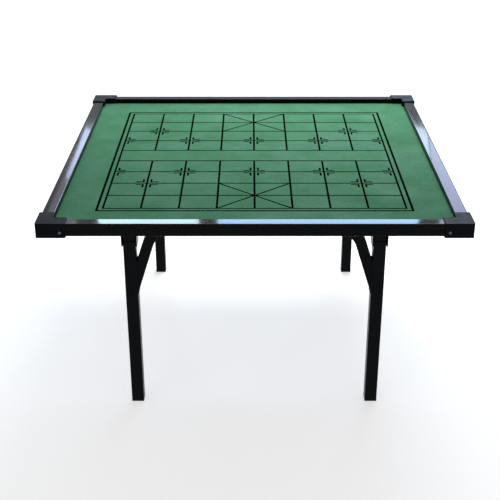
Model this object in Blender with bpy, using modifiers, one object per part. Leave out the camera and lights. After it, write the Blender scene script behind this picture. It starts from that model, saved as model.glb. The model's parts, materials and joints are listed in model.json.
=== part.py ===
"""Folding game table: a square printed playing board in a raised metal rim, on two folding leg frames.

Metres, +Z up. The origin is on the floor under the middle of the table. +X is to the right and +Y away
from the viewer. The front leg frame folds up and back, and the back leg frame folds up and forward below it.
"""
import math

import bmesh
import bpy
from mathutils import Matrix, Vector

for old_object in list(bpy.data.objects):
    bpy.data.objects.remove(old_object, do_unlink=True)

# Overall sizes
TOP_SIDE = 0.900
TABLE_HEIGHT = 0.500

# Clearances
SEAT_GAP = 0.0003
BORE_CLEARANCE = 0.0003
CHEEK_CLEARANCE = 0.0006
FOLD_CLEARANCE = 0.003
CUT_OVERRUN = 0.005

# Rim: four hollow rails and four moulded corner guards
RAIL_WIDTH = 0.028
RAIL_HEIGHT = 0.027
RAIL_WALL = 0.0015
RAIL_CORNER_RADIUS = 0.0015
LEDGE_WIDTH = 0.012
LEDGE_THICKNESS = 0.0025
GUARD_WALL = 0.0025
GUARD_ARM = 0.062
GUARD_CORNER_RADIUS = 0.003
GUARD_EDGE = 0.001
GUARD_CORE_WEB = 0.003
GUARD_SCREW_INSET = 0.012
GUARD_SCREW_RISE = 0.0083

# Board
PANEL_THICKNESS = 0.011
SHEET_THICKNESS = 0.001

# Cross rails under the board
CROSS_RAIL_HEIGHT = 0.010
CROSS_RAIL_WALL = 0.0015
CROSS_RAIL_MARGIN = 0.002
CROSS_RAIL_END_GAP = 0.002
CROSS_RAIL_SCREW_INSET = 0.020

# Legs, bows and feet
LEG_SIZE = 0.028
LEG_WALL = 0.0015
LEG_CORNER_RADIUS = 0.002
LEG_INSET_X = 0.178
LEG_INSET_Y = 0.115
FOOT_THICKNESS = 0.004
FOOT_PLUG = 0.015
FOOT_EDGE = 0.001
BOW_SIZE = 0.024
BOW_WALL = 0.0015
BOW_LEAN = math.radians(18.0)
BOW_BEND_RADIUS = 0.058
BOW_JOIN_DROP = 0.105
BOW_BAR_DROP = 0.004

# Folding brackets and catch springs
BRACKET_THICKNESS = 0.0025
BRACKET_LENGTH = 0.056
BRACKET_SCREW_INSET = 0.008
CHEEK_DROP = 0.030
CHEEK_CORNER_RADIUS = 0.006
CHEEK_LIP = 0.001
PLATE_FLANGE = 0.004
STOP_CLEARANCE = 0.003
STOP_HEIGHT = 0.008
TURNING_ROOM = 0.0102
SPRING_WIDTH = 0.012
SPRING_THICKNESS = 0.0008
SPRING_SEAT = 0.006
SPRING_SHOULDER = 0.008
SPRING_TIP_INSET = 0.002

# Fasteners
BOLT_RADIUS = 0.003
BOLT_HEAD_RADIUS = 0.006
BOLT_HEAD_HEIGHT = 0.003
BOLT_END = 0.0015
NUT_RADIUS = 0.0058
NUT_HEIGHT = 0.005
SCREW_RADIUS = 0.0018
SCREW_HEAD_RADIUS = 0.004
SCREW_HEAD_HEIGHT = 0.0022
SCREW_BITE = 0.008
GUARD_SCREW_RADIUS = 0.0016
GUARD_SCREW_HEAD_RADIUS = 0.0034
GUARD_SCREW_HEAD_HEIGHT = 0.0014
GUARD_SCREW_LENGTH = 0.010
NUT_SIDES = 6

# A pan head's flat top and upright rim, as shares of its radius and height
HEAD_FLAT_SHARE = 0.6
HEAD_RIM_SHARE = 0.45

# Roundness of curved stretches
CORNER_STEPS = 3
EDGE_STEPS = 2
BEND_STEPS = 8
TURN_STEPS = 12
BORE_SIDES = 16
SHARP_ANGLE = math.radians(40.0)

# Points closer than this are one point
WELD_DISTANCE = 1e-6

# Heights and half-widths that follow from the sizes above
HALF_TOP = TOP_SIDE / 2
RAIL_TOP = TABLE_HEIGHT - GUARD_WALL - SEAT_GAP
RAIL_BOTTOM = RAIL_TOP - RAIL_HEIGHT
RAIL_OUTER = HALF_TOP - GUARD_WALL - SEAT_GAP
RAIL_INNER = RAIL_OUTER - RAIL_WIDTH
RAIL_END = RAIL_INNER - SEAT_GAP
LEDGE_TOP = RAIL_BOTTOM + LEDGE_THICKNESS
LEDGE_EDGE = RAIL_INNER - LEDGE_WIDTH
GUARD_BOTTOM = RAIL_BOTTOM - SEAT_GAP - GUARD_WALL
GUARD_INNER = RAIL_INNER - SEAT_GAP - GUARD_WALL
GUARD_END = HALF_TOP - GUARD_ARM
PANEL_BOTTOM = LEDGE_TOP + SEAT_GAP
PANEL_TOP = PANEL_BOTTOM + PANEL_THICKNESS
SHEET_BOTTOM = PANEL_TOP + SEAT_GAP
BOARD_HALF = RAIL_INNER - SEAT_GAP
LEG_X = HALF_TOP - LEG_INSET_X
LEG_Y = HALF_TOP - LEG_INSET_Y
LEG_FACE = LEG_X - LEG_SIZE / 2
CROSS_RAIL_TOP = PANEL_BOTTOM - SEAT_GAP
CROSS_RAIL_WIDTH = BRACKET_LENGTH + 2 * CROSS_RAIL_MARGIN
CROSS_RAIL_HALF = LEDGE_EDGE - CROSS_RAIL_END_GAP
FOLD_STEP = LEG_SIZE + FOLD_CLEARANCE
PIVOT_DROP = LEG_SIZE * math.sqrt(0.5) + TURNING_ROOM
BOW_RISE = PIVOT_DROP - BOW_BAR_DROP - BOW_SIZE / 2
CHEEK_INNER = LEG_SIZE / 2 + CHEEK_CLEARANCE
CHEEK_OUTER = CHEEK_INNER + BRACKET_THICKNESS
STOP_INNER = LEG_SIZE / 2 + SEAT_GAP
STOP_OUTER = STOP_INNER + BRACKET_THICKNESS
STOP_DROP = LEG_SIZE / 2 + STOP_CLEARANCE
CHEEK_HALF_WIDTH = STOP_OUTER + CHEEK_LIP
BRACKET_SCREW_Y = BRACKET_LENGTH / 2 - BRACKET_SCREW_INSET

RIGHT = Vector((1.0, 0.0, 0.0))
AWAY = Vector((0.0, 1.0, 0.0))
UP = Vector((0.0, 0.0, 1.0))

# The front and back frames, and the left and right sides, with the direction that each name stands for
ENDS = (("front", -1), ("back", 1))
SIDES = (("left", -1), ("right", 1))


def cross_rail_height(end):
    """The back cross rail is deeper by one leg, so that the back legs fold flat below the front ones."""
    return CROSS_RAIL_HEIGHT + (FOLD_STEP if end == "back" else 0.0)


def cross_rail_bottom(end):
    """Height of the underside of a cross rail."""
    return CROSS_RAIL_TOP - cross_rail_height(end)


def bracket_underside(end):
    """Height of the lower face of the bracket's base plate."""
    return cross_rail_bottom(end) - SEAT_GAP - BRACKET_THICKNESS


def pivot_height(end):
    """Height of the axis that the leg frame turns on."""
    return bracket_underside(end) - PIVOT_DROP


def new_collection(name):
    """A collection linked to the scene."""
    group = bpy.data.collections.new(name)
    bpy.context.scene.collection.children.link(group)
    return group


PARTS = new_collection("folding_game_table")
CUTTERS = new_collection("cutters")


def finish(name, colour, roughness, metallic=0.0):
    """A Principled material in one colour."""
    material = bpy.data.materials.new(name)
    material.use_nodes = True
    shader = material.node_tree.nodes["Principled BSDF"]
    shader.inputs["Base Color"].default_value = (*colour, 1.0)
    shader.inputs["Roughness"].default_value = roughness
    shader.inputs["Metallic"].default_value = metallic
    return material


GLOSS_BLACK = finish("gloss_black_rail", (0.012, 0.012, 0.014), 0.12)
SATIN_BLACK = finish("satin_black_steel", (0.010, 0.010, 0.012), 0.38)
GUARD_BLACK = finish("black_moulded_guard", (0.014, 0.015, 0.018), 0.42)
FOOT_BLACK = finish("black_foot_rubber", (0.010, 0.010, 0.010), 0.70)
BOARD_BROWN = finish("pressed_fibre_board", (0.270, 0.180, 0.100), 0.80)
BOARD_GREEN = finish("green_playing_sheet", (0.075, 0.220, 0.120), 0.75)
ZINC = finish("zinc_plated_steel", (0.520, 0.530, 0.540), 0.35, 1.0)
SPRING_STEEL = finish("spring_steel", (0.300, 0.300, 0.320), 0.30, 1.0)


def add_object(name, mesh, group=PARTS):
    """An object in the given collection. Cutters and joining tools are drawn as wire and not rendered."""
    thing = bpy.data.objects.new(name, mesh)
    group.objects.link(thing)
    if group is CUTTERS:
        thing.hide_render = True
        thing.display_type = "WIRE"
    return thing


def place(thing, world, axis=None):
    """Puts an object at a world matrix, riding on a fold axis where one is given."""
    if axis is None:
        thing.matrix_basis = world
    else:
        thing.parent = axis
        thing.matrix_basis = Matrix.Translation(-axis.location) @ world
    return thing


def turned_to(centre, right, up):
    """A matrix at centre, with local X along right, local Y along up and local Z square to both."""
    axes = Matrix((right, up, right.cross(up))).transposed()
    return Matrix.Translation(centre) @ axes.to_4x4()


def pointing(centre, direction):
    """A matrix at centre with local Z along the direction."""
    turn = Vector(direction).to_track_quat("Z", "Y").to_matrix()
    return Matrix.Translation(centre) @ turn.to_4x4()


def round_corners(corners):
    """Outline points from (x, y, radius) corners, with an arc at each corner that has a radius."""
    points = []
    for i, (x, y, radius) in enumerate(corners):
        corner = Vector((x, y))
        if radius <= 0.0:
            points.append(tuple(corner))
            continue
        before = (Vector(corners[i - 1][:2]) - corner).normalized()
        after = (Vector(corners[(i + 1) % len(corners)][:2]) - corner).normalized()
        half_angle = before.angle(after) / 2
        start = corner + before * (radius / math.tan(half_angle))
        middle = corner + (before + after).normalized() * (radius / math.sin(half_angle))
        spoke = start - middle
        sweep = math.pi - 2 * half_angle
        turn = math.copysign(sweep, before.cross(after) * -1.0)
        for step in range(CORNER_STEPS + 1):
            angle = turn * step / CORNER_STEPS
            cos, sin = math.cos(angle), math.sin(angle)
            points.append((
                middle.x + spoke.x * cos - spoke.y * sin,
                middle.y + spoke.x * sin + spoke.y * cos,
            ))
    return points


def rectangle(width, height, radius=0.0):
    """A rectangle round the origin, with its corners rounded where a radius is given."""
    x, y = width / 2, height / 2
    return round_corners([(-x, -y, radius), (x, -y, radius), (x, y, radius), (-x, y, radius)])


def circle(radius, sides):
    """Points round a circle at the origin."""
    return [
        (radius * math.cos(2 * math.pi * i / sides), radius * math.sin(2 * math.pi * i / sides))
        for i in range(sides)
    ]


def plate_mesh(name, loops, thickness, material=None):
    """A flat outline with any holes, extruded evenly to both sides of local XY, as a welded mesh."""
    curve = bpy.data.curves.new(name, "CURVE")
    curve.dimensions = "2D"
    curve.fill_mode = "BOTH"
    curve.extrude = thickness / 2
    for loop in loops:
        spline = curve.splines.new("POLY")
        spline.points.add(len(loop) - 1)
        for point, (x, y) in zip(spline.points, loop):
            point.co = (x, y, 0.0, 1.0)
        spline.use_cyclic_u = True
    holder = add_object(name, curve)
    depsgraph = bpy.context.evaluated_depsgraph_get()
    mesh = bpy.data.meshes.new_from_object(holder.evaluated_get(depsgraph))
    bpy.data.objects.remove(holder)
    bpy.data.curves.remove(curve)
    welded = bmesh.new()
    welded.from_mesh(mesh)
    bmesh.ops.remove_doubles(welded, verts=welded.verts, dist=WELD_DISTANCE)
    bmesh.ops.recalc_face_normals(welded, faces=welded.faces)
    welded.to_mesh(mesh)
    welded.free()
    mesh.name = name
    if material:
        mesh.materials.append(material)
    return mesh


def box(name, low, high, material=None, group=PARTS):
    """A box between two opposite corners, given in any order, with its origin at its middle."""
    low, high = Vector(low), Vector(high)
    shape = bmesh.new()
    bmesh.ops.create_cube(shape, size=1.0)
    size = Vector([abs(b - a) for a, b in zip(low, high)])
    bmesh.ops.scale(shape, vec=size, verts=shape.verts)
    mesh = bpy.data.meshes.new(name)
    shape.to_mesh(mesh)
    shape.free()
    if material:
        mesh.materials.append(material)
    return place(add_object(name, mesh, group), Matrix.Translation((low + high) / 2))


def cut_box(name, low, high):
    """A box that is cut away from the parts it reaches."""
    return box(name, low, high, group=CUTTERS)


def cut_bore(name, start, stop, radius):
    """A round bar from start to stop that is cut away from the parts it passes through."""
    start, stop = Vector(start), Vector(stop)
    shape = bmesh.new()
    bmesh.ops.create_cone(
        shape, cap_ends=True, segments=BORE_SIDES, radius1=radius, radius2=radius, depth=(stop - start).length
    )
    mesh = bpy.data.meshes.new(name)
    shape.to_mesh(mesh)
    shape.free()
    return place(add_object(name, mesh, CUTTERS), pointing((start + stop) / 2, stop - start))


def join(target, tool):
    """Joins a tool to the target, so that both are one solid."""
    step = target.modifiers.new(tool.name, "BOOLEAN")
    step.operation = "UNION"
    step.object = tool


def cut(target, tool):
    """Cuts a tool away from the target. All of a target's cuts are made together, in one step."""
    name = "cuts_in_" + target.name
    if name not in bpy.data.collections:
        CUTTERS.children.link(bpy.data.collections.new(name))
        step = target.modifiers.new("cuts", "BOOLEAN")
        step.operation = "DIFFERENCE"
        step.operand_type = "COLLECTION"
        step.collection = bpy.data.collections[name]
    bpy.data.collections[name].objects.link(tool)


def turned_mesh(name, profile, material):
    """The half profile of a turned piece: (radius, height) points from top to bottom, closed on the axis."""
    mesh = bpy.data.meshes.new(name)
    points = [(radius, 0.0, height) for radius, height in profile]
    edges = [(i, i + 1) for i in range(len(points) - 1)]
    mesh.from_pydata(points, edges, [])
    mesh.materials.append(material)
    return mesh


def turned(name, mesh, world):
    """A turned piece: its half profile swept once round local Z."""
    thing = place(add_object(name, mesh), world)
    sweep = thing.modifiers.new("turn", "SCREW")
    sweep.axis = "Z"
    sweep.steps = TURN_STEPS
    sweep.render_steps = TURN_STEPS
    sweep.use_merge_vertices = True
    sweep.merge_threshold = WELD_DISTANCE
    sweep.use_smooth_shade = True
    return thing


def headed_profile(radius, length, head_radius, head_height):
    """A pan head above its seat at height 0, and a plain shank below it."""
    return [
        (0.0, head_height),
        (head_radius * HEAD_FLAT_SHARE, head_height),
        (head_radius, head_height * HEAD_RIM_SHARE),
        (head_radius, 0.0),
        (radius, 0.0),
        (radius, -length),
        (0.0, -length),
    ]


def fold_axis(end, sign):
    """An empty on the axis that a leg frame turns on. The frame's pieces ride on it."""
    empty = bpy.data.objects.new(end + "_fold_axis", None)
    PARTS.objects.link(empty)
    empty.location = (0.0, sign * LEG_Y, pivot_height(end))
    empty.empty_display_size = LEG_X
    return empty


def sheet_outline():
    """The printed sheet in plan: it fills the rim, and its corners are notched round the guards."""
    edge, arm, step = BOARD_HALF, GUARD_END - SEAT_GAP, GUARD_INNER - SEAT_GAP
    corner = [(edge, arm), (step, arm), (step, step), (arm, step), (arm, edge)]
    points = []
    for _ in range(len(ENDS) * len(SIDES)):
        points += corner
        corner = [(-y, x) for x, y in corner]
    return points


def make_board():
    """The pressed board in the rim, and the printed sheet glued on it."""
    half = BOARD_HALF
    panel = box("playing_panel", (-half, -half, PANEL_BOTTOM), (half, half, PANEL_TOP), BOARD_BROWN)
    sheet = "playing_sheet"
    mesh = plate_mesh(sheet, [sheet_outline()], SHEET_THICKNESS, BOARD_GREEN)
    place(add_object(sheet, mesh), Matrix.Translation(UP * (SHEET_BOTTOM + SHEET_THICKNESS / 2)))
    return panel


def rail_section():
    """A hollow rail seen along its length: X outwards from its inner face, Y up from its underside."""
    radius = RAIL_CORNER_RADIUS
    outside = round_corners([
        (-LEDGE_WIDTH, 0.0, 0.0),
        (RAIL_WIDTH, 0.0, radius),
        (RAIL_WIDTH, RAIL_HEIGHT, radius),
        (0.0, RAIL_HEIGHT, radius),
        (0.0, LEDGE_THICKNESS, 0.0),
        (-LEDGE_WIDTH, LEDGE_THICKNESS, 0.0),
    ])
    low, right, top = RAIL_WALL, RAIL_WIDTH - RAIL_WALL, RAIL_HEIGHT - RAIL_WALL
    hollow = [(low, low), (right, low), (right, top), (low, top)]
    return [outside, hollow]


def make_rails():
    """Four hollow rails whose inner ledge carries the board. They end at the corners' cores."""
    rails = {}
    mesh = plate_mesh("rail", rail_section(), 2 * RAIL_END, GLOSS_BLACK)
    for name, outward in (("front", -AWAY), ("back", AWAY), ("left", -RIGHT), ("right", RIGHT)):
        rail = add_object("rail_" + name, mesh)
        place(rail, turned_to(outward * RAIL_INNER + UP * RAIL_BOTTOM, outward, UP))
        rails[name] = rail
    # The side rails' ledges stop short of the front and back ledges
    ledge_end = LEDGE_EDGE - SEAT_GAP
    for side, x_sign in SIDES:
        for end, y_sign in ENDS:
            notch = cut_box(
                f"ledge_notch_{end}_{side}",
                (x_sign * (LEDGE_EDGE - CUT_OVERRUN), y_sign * ledge_end, RAIL_BOTTOM - CUT_OVERRUN),
                (x_sign * RAIL_INNER, y_sign * (RAIL_END + CUT_OVERRUN), LEDGE_TOP + CUT_OVERRUN),
            )
            cut(rails[side], notch)
    return rails


def guard_outline(x_sign, y_sign):
    """A corner guard in plan: two arms along the rails, meeting at the table's corner."""
    corners = [
        (GUARD_END, HALF_TOP, 0.0),
        (HALF_TOP, HALF_TOP, GUARD_CORNER_RADIUS),
        (HALF_TOP, GUARD_END, 0.0),
        (GUARD_INNER, GUARD_END, 0.0),
        (GUARD_INNER, GUARD_INNER, 0.0),
        (GUARD_END, GUARD_INNER, 0.0),
    ]
    return round_corners([(x * x_sign, y * y_sign, radius) for x, y, radius in corners])


def guard_block(end, y_sign, side, x_sign):
    """The outside of a moulded corner guard, with softened edges."""
    name = f"corner_guard_{end}_{side}"
    height = TABLE_HEIGHT - GUARD_BOTTOM
    guard = add_object(name, plate_mesh(name, [guard_outline(x_sign, y_sign)], height, GUARD_BLACK))
    place(guard, Matrix.Translation((0.0, 0.0, GUARD_BOTTOM + height / 2)))
    edge = guard.modifiers.new("soft_edges", "BEVEL")
    edge.width = GUARD_EDGE
    edge.segments = EDGE_STEPS
    edge.limit_method = "ANGLE"
    edge.angle_limit = SHARP_ANGLE
    return guard


def hollow_guard(guard, x_sign, y_sign):
    """Cuts a guard's socket for each rail, the room for the board's corner, and a core open below."""
    arm_mouth = GUARD_END - CUT_OVERRUN
    socket_end = RAIL_END + SEAT_GAP
    socket_inner, socket_outer = RAIL_INNER - SEAT_GAP, RAIL_OUTER + SEAT_GAP
    socket_low, socket_high = RAIL_BOTTOM - SEAT_GAP, RAIL_TOP + SEAT_GAP
    relief_edge = RAIL_INNER - SEAT_GAP / 2
    below = GUARD_BOTTOM - CUT_OVERRUN
    core_inner, core_outer = socket_end + GUARD_CORE_WEB, HALF_TOP - GUARD_WALL
    hollows = {
        "end_socket": (
            (arm_mouth, socket_inner, socket_low),
            (socket_end, socket_outer, socket_high),
        ),
        "side_socket": (
            (socket_inner, arm_mouth, socket_low),
            (socket_outer, socket_end, socket_high),
        ),
        "board_relief": (
            (arm_mouth, arm_mouth, below),
            (relief_edge, relief_edge, PANEL_TOP + SEAT_GAP),
        ),
        "core_hollow": (
            (core_inner, core_inner, below),
            (core_outer, core_outer, TABLE_HEIGHT - GUARD_WALL),
        ),
    }
    for hollow, corners in hollows.items():
        low, high = [(x * x_sign, y * y_sign, z) for x, y, z in corners]
        cut(guard, cut_box(f"{hollow}_{guard.name}", low, high))


def make_guard_screw(name, mesh, seat, outward, pieces):
    """A flush screw through a guard into the rail behind it, with its bore and head recess."""
    turned("guard_screw_" + name, mesh, pointing(seat, outward))
    clear = outward * (GUARD_SCREW_HEAD_HEIGHT + CUT_OVERRUN)
    shank_end = seat - outward * (GUARD_SCREW_LENGTH + BORE_CLEARANCE)
    head_end = seat - outward * BORE_CLEARANCE
    bore = cut_bore("bore_" + name, seat + clear, shank_end, GUARD_SCREW_RADIUS + BORE_CLEARANCE)
    recess = cut_bore("recess_" + name, seat + clear, head_end, GUARD_SCREW_HEAD_RADIUS + BORE_CLEARANCE)
    guard, rail = pieces
    cut(guard, bore)
    cut(guard, recess)
    cut(rail, bore)


def make_guards(rails):
    """Four corner guards, each held by one screw on its end face and one on its side face."""
    profile = headed_profile(
        GUARD_SCREW_RADIUS, GUARD_SCREW_LENGTH, GUARD_SCREW_HEAD_RADIUS, GUARD_SCREW_HEAD_HEIGHT
    )
    mesh = turned_mesh("guard_screw", profile, ZINC)
    seat = HALF_TOP - GUARD_SCREW_HEAD_HEIGHT
    along = GUARD_END + GUARD_SCREW_INSET
    height = RAIL_BOTTOM + GUARD_SCREW_RISE
    for end, y_sign in ENDS:
        for side, x_sign in SIDES:
            guard = guard_block(end, y_sign, side, x_sign)
            end_seat = Vector((x_sign * along, y_sign * seat, height))
            side_seat = Vector((x_sign * seat, y_sign * along, height))
            corner = f"{end}_{side}"
            make_guard_screw(corner + "_end", mesh, end_seat, AWAY * y_sign, (guard, rails[end]))
            make_guard_screw(corner + "_side", mesh, side_seat, RIGHT * x_sign, (guard, rails[side]))
            hollow_guard(guard, x_sign, y_sign)


def panel_screw(name, mesh, seat, length, pieces):
    """A screw driven upwards from its head's seat, with its bore in each piece that it passes."""
    turned(name, mesh, pointing(seat, -UP))
    start = seat - UP * (SCREW_HEAD_HEIGHT + CUT_OVERRUN)
    stop = seat + UP * (length + BORE_CLEARANCE)
    bore = cut_bore("bore_" + name, start, stop, SCREW_RADIUS + BORE_CLEARANCE)
    for piece in pieces:
        cut(piece, bore)


def screw_mesh(name, length):
    """A pan head screw of the given length."""
    profile = headed_profile(SCREW_RADIUS, length, SCREW_HEAD_RADIUS, SCREW_HEAD_HEIGHT)
    return turned_mesh(name, profile, ZINC)


def make_cross_rail(end, y_sign, panel):
    """A flat tube under the board that carries a pair of leg brackets, with a screw near each end."""
    height = cross_rail_height(end)
    bottom = cross_rail_bottom(end)
    wall = 2 * CROSS_RAIL_WALL
    loops = [
        rectangle(CROSS_RAIL_WIDTH, height, RAIL_CORNER_RADIUS),
        rectangle(CROSS_RAIL_WIDTH - wall, height - wall),
    ]
    name = "cross_rail_" + end
    rail = add_object(name, plate_mesh(name, loops, 2 * CROSS_RAIL_HALF, SATIN_BLACK))
    place(rail, turned_to(Vector((0.0, y_sign * LEG_Y, bottom + height / 2)), AWAY, UP))
    length = SEAT_GAP + height + SEAT_GAP + SCREW_BITE
    mesh = screw_mesh("cross_rail_screw_" + end, length)
    for side, x_sign in SIDES:
        x = x_sign * (CROSS_RAIL_HALF - CROSS_RAIL_SCREW_INSET)
        seat = Vector((x, y_sign * LEG_Y, bottom - SEAT_GAP))
        panel_screw(f"cross_rail_screw_{end}_{side}", mesh, seat, length, (rail, panel))
    return rail


def make_bracket(corner, pivot, y_sign):
    """A folding bracket: a base plate, a cheek on each side of the leg and a stop across its outer side."""
    low = pivot + UP * PIVOT_DROP
    half_length = BRACKET_LENGTH / 2
    plate_half = CHEEK_OUTER + PLATE_FLANGE
    bracket = box(
        "leg_bracket_" + corner,
        low + Vector((-plate_half, -half_length, 0.0)),
        low + Vector((plate_half, half_length, BRACKET_THICKNESS)),
        SATIN_BLACK,
    )
    top = PIVOT_DROP + BRACKET_THICKNESS / 2
    radius = CHEEK_CORNER_RADIUS
    half_width = CHEEK_HALF_WIDTH
    cheek_outline = round_corners([
        (-half_width, top, 0.0),
        (-half_width, -CHEEK_DROP, radius),
        (half_width, -CHEEK_DROP, radius),
        (half_width, top, 0.0),
    ])
    for side, x_sign in SIDES:
        tool_name = f"cheek_{corner}_{side}"
        cheek = add_object(tool_name, plate_mesh(tool_name, [cheek_outline], BRACKET_THICKNESS), CUTTERS)
        middle = (CHEEK_INNER + CHEEK_OUTER) / 2
        place(cheek, turned_to(pivot + RIGHT * (x_sign * middle), AWAY, UP))
        join(bracket, cheek)
    stop_half = (CHEEK_INNER + CHEEK_OUTER) / 2
    stop = box(
        "stop_" + corner,
        pivot + Vector((-stop_half, y_sign * STOP_INNER, -STOP_DROP)),
        pivot + Vector((stop_half, y_sign * STOP_OUTER, -STOP_DROP - STOP_HEIGHT)),
        group=CUTTERS,
    )
    join(bracket, stop)
    return bracket


def make_catch_spring(corner, pivot, y_sign):
    """A bent leaf spring: screwed under the bracket's plate, and bearing on the square top of the leg."""
    seat_height = PIVOT_DROP - SEAT_GAP - SPRING_THICKNESS
    leg_height = LEG_SIZE / 2 + SEAT_GAP
    path = [
        (BRACKET_SCREW_Y + SPRING_SEAT, seat_height),
        (BRACKET_SCREW_Y - SPRING_SEAT, seat_height),
        (LEG_SIZE / 2 - SPRING_SHOULDER, leg_height),
        (SPRING_TIP_INSET - LEG_SIZE / 2, leg_height),
    ]
    name = "catch_spring_" + corner
    strip = bmesh.new()
    points = [strip.verts.new((-SPRING_WIDTH / 2, y * -y_sign, z)) for y, z in path]
    edges = [strip.edges.new(pair) for pair in zip(points, points[1:])]
    widened = bmesh.ops.extrude_edge_only(strip, edges=edges)["geom"]
    new_points = [item for item in widened if isinstance(item, bmesh.types.BMVert)]
    bmesh.ops.translate(strip, verts=new_points, vec=RIGHT * SPRING_WIDTH)
    bmesh.ops.recalc_face_normals(strip, faces=strip.faces)
    if strip.faces[:][0].normal.z < 0.0:
        bmesh.ops.reverse_faces(strip, faces=strip.faces)
    mesh = bpy.data.meshes.new(name)
    strip.to_mesh(mesh)
    strip.free()
    mesh.materials.append(SPRING_STEEL)
    spring = place(add_object(name, mesh), Matrix.Translation(pivot))
    leaf = spring.modifiers.new("leaf", "SOLIDIFY")
    leaf.thickness = SPRING_THICKNESS
    leaf.offset = 1.0
    leaf.use_even_offset = True
    return spring


def make_pivot(corner, pivot, x_sign, pieces, meshes):
    """A pivot bolt through both cheeks and the leg, with its head outside and its nut inside."""
    bolt_mesh, nut_mesh = meshes
    head_seat = pivot + RIGHT * (x_sign * (CHEEK_OUTER + SEAT_GAP))
    turned("pivot_bolt_" + corner, bolt_mesh, pointing(head_seat, RIGHT * x_sign))
    nut = add_object("pivot_nut_" + corner, nut_mesh)
    nut_middle = CHEEK_OUTER + SEAT_GAP + NUT_HEIGHT / 2
    place(nut, turned_to(pivot - RIGHT * (x_sign * nut_middle), AWAY, UP))
    reach = RIGHT * (CHEEK_OUTER + CUT_OVERRUN)
    bore = cut_bore("pivot_bore_" + corner, pivot - reach, pivot + reach, BOLT_RADIUS + BORE_CLEARANCE)
    for piece in pieces:
        cut(piece, bore)


def make_leg(corner, pivot, mesh, length, axis):
    """A square tube, open at its top, that reaches down to its foot cap."""
    leg = add_object("leg_" + corner, mesh)
    middle = pivot + UP * ((LEG_SIZE - length) / 2)
    return place(leg, turned_to(middle, RIGHT, AWAY), axis)


def foot_mesh():
    """A foot cap: a pad of the tube's own size, and a plug that fills the tube's end."""
    shape = bmesh.new()
    bmesh.ops.create_cube(shape, size=1.0)
    bmesh.ops.scale(shape, vec=(LEG_SIZE, LEG_SIZE, FOOT_THICKNESS), verts=shape.verts)
    bmesh.ops.translate(shape, vec=UP * (FOOT_THICKNESS / 2), verts=shape.verts)
    top = max(shape.faces, key=lambda face: face.calc_center_median().z)
    bmesh.ops.inset_region(shape, faces=[top], thickness=LEG_WALL + SEAT_GAP, use_even_offset=True)
    plug = bmesh.ops.extrude_face_region(shape, geom=[top])["geom"]
    plug_points = [item for item in plug if isinstance(item, bmesh.types.BMVert)]
    bmesh.ops.delete(shape, geom=[top], context="FACES_ONLY")
    bmesh.ops.translate(shape, vec=UP * FOOT_PLUG, verts=plug_points)
    sole = [edge for edge in shape.edges if all(vert.co.z < FOOT_THICKNESS / 2 for vert in edge.verts)]
    bmesh.ops.bevel(
        shape, geom=sole, offset=FOOT_EDGE, offset_type="OFFSET",
        segments=EDGE_STEPS, profile=0.5, affect="EDGES",
    )
    bmesh.ops.recalc_face_normals(shape, faces=shape.faces)
    mesh = bpy.data.meshes.new("foot_cap")
    shape.to_mesh(mesh)
    shape.free()
    mesh.materials.append(FOOT_BLACK)
    return mesh


def bow_outline(inset, overrun):
    """The bow in its own plane, X to the right and Y up from the fold axis.

    Two arms lean in from the legs, bend and meet in a level bar. inset thins the section evenly, and
    overrun carries both ends past the legs' faces.
    """
    half = BOW_SIZE / 2 - inset
    face = LEG_FACE - SEAT_GAP
    rise, run = math.cos(BOW_LEAN), math.sin(BOW_LEAN)
    bend_height = BOW_RISE - BOW_BEND_RADIUS
    arm_length = (bend_height + BOW_BEND_RADIUS * run + BOW_JOIN_DROP) / rise
    bend_x = face - arm_length * run - BOW_BEND_RADIUS * rise

    def edge(offset):
        """One edge of the right half, from the top of the bend down to the leg."""
        radius = BOW_BEND_RADIUS + offset
        points = []
        for step in range(BEND_STEPS + 1):
            angle = math.pi / 2 - (math.pi / 2 - BOW_LEAN) * step / BEND_STEPS
            points.append((bend_x + radius * math.cos(angle), bend_height + radius * math.sin(angle)))
        end_x = face + overrun
        last_x, last_y = points[-1]
        points.append((end_x, last_y - (end_x - last_x) * rise / run))
        return points

    outer, inner = edge(half), edge(-half)
    right_half = outer + inner[::-1]
    left_outer = [(-x, y) for x, y in outer[::-1]]
    left_inner = [(-x, y) for x, y in inner]
    return left_outer + right_half + left_inner


def make_bow(end, axis):
    """A bent square tube that braces the two legs of a frame. Its ends are cut to the legs' faces."""
    name = "bow_brace_" + end
    bow = add_object(name, plate_mesh(name, [bow_outline(0.0, 0.0)], BOW_SIZE, SATIN_BLACK))
    world = turned_to(axis.location, RIGHT, UP)
    place(bow, world, axis)
    bore_name = "bow_bore_" + end
    bore_width = BOW_SIZE - 2 * BOW_WALL
    bore_mesh = plate_mesh(bore_name, [bow_outline(BOW_WALL, CUT_OVERRUN)], bore_width)
    bore = place(add_object(bore_name, bore_mesh, CUTTERS), world)
    cut(bow, bore)


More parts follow.
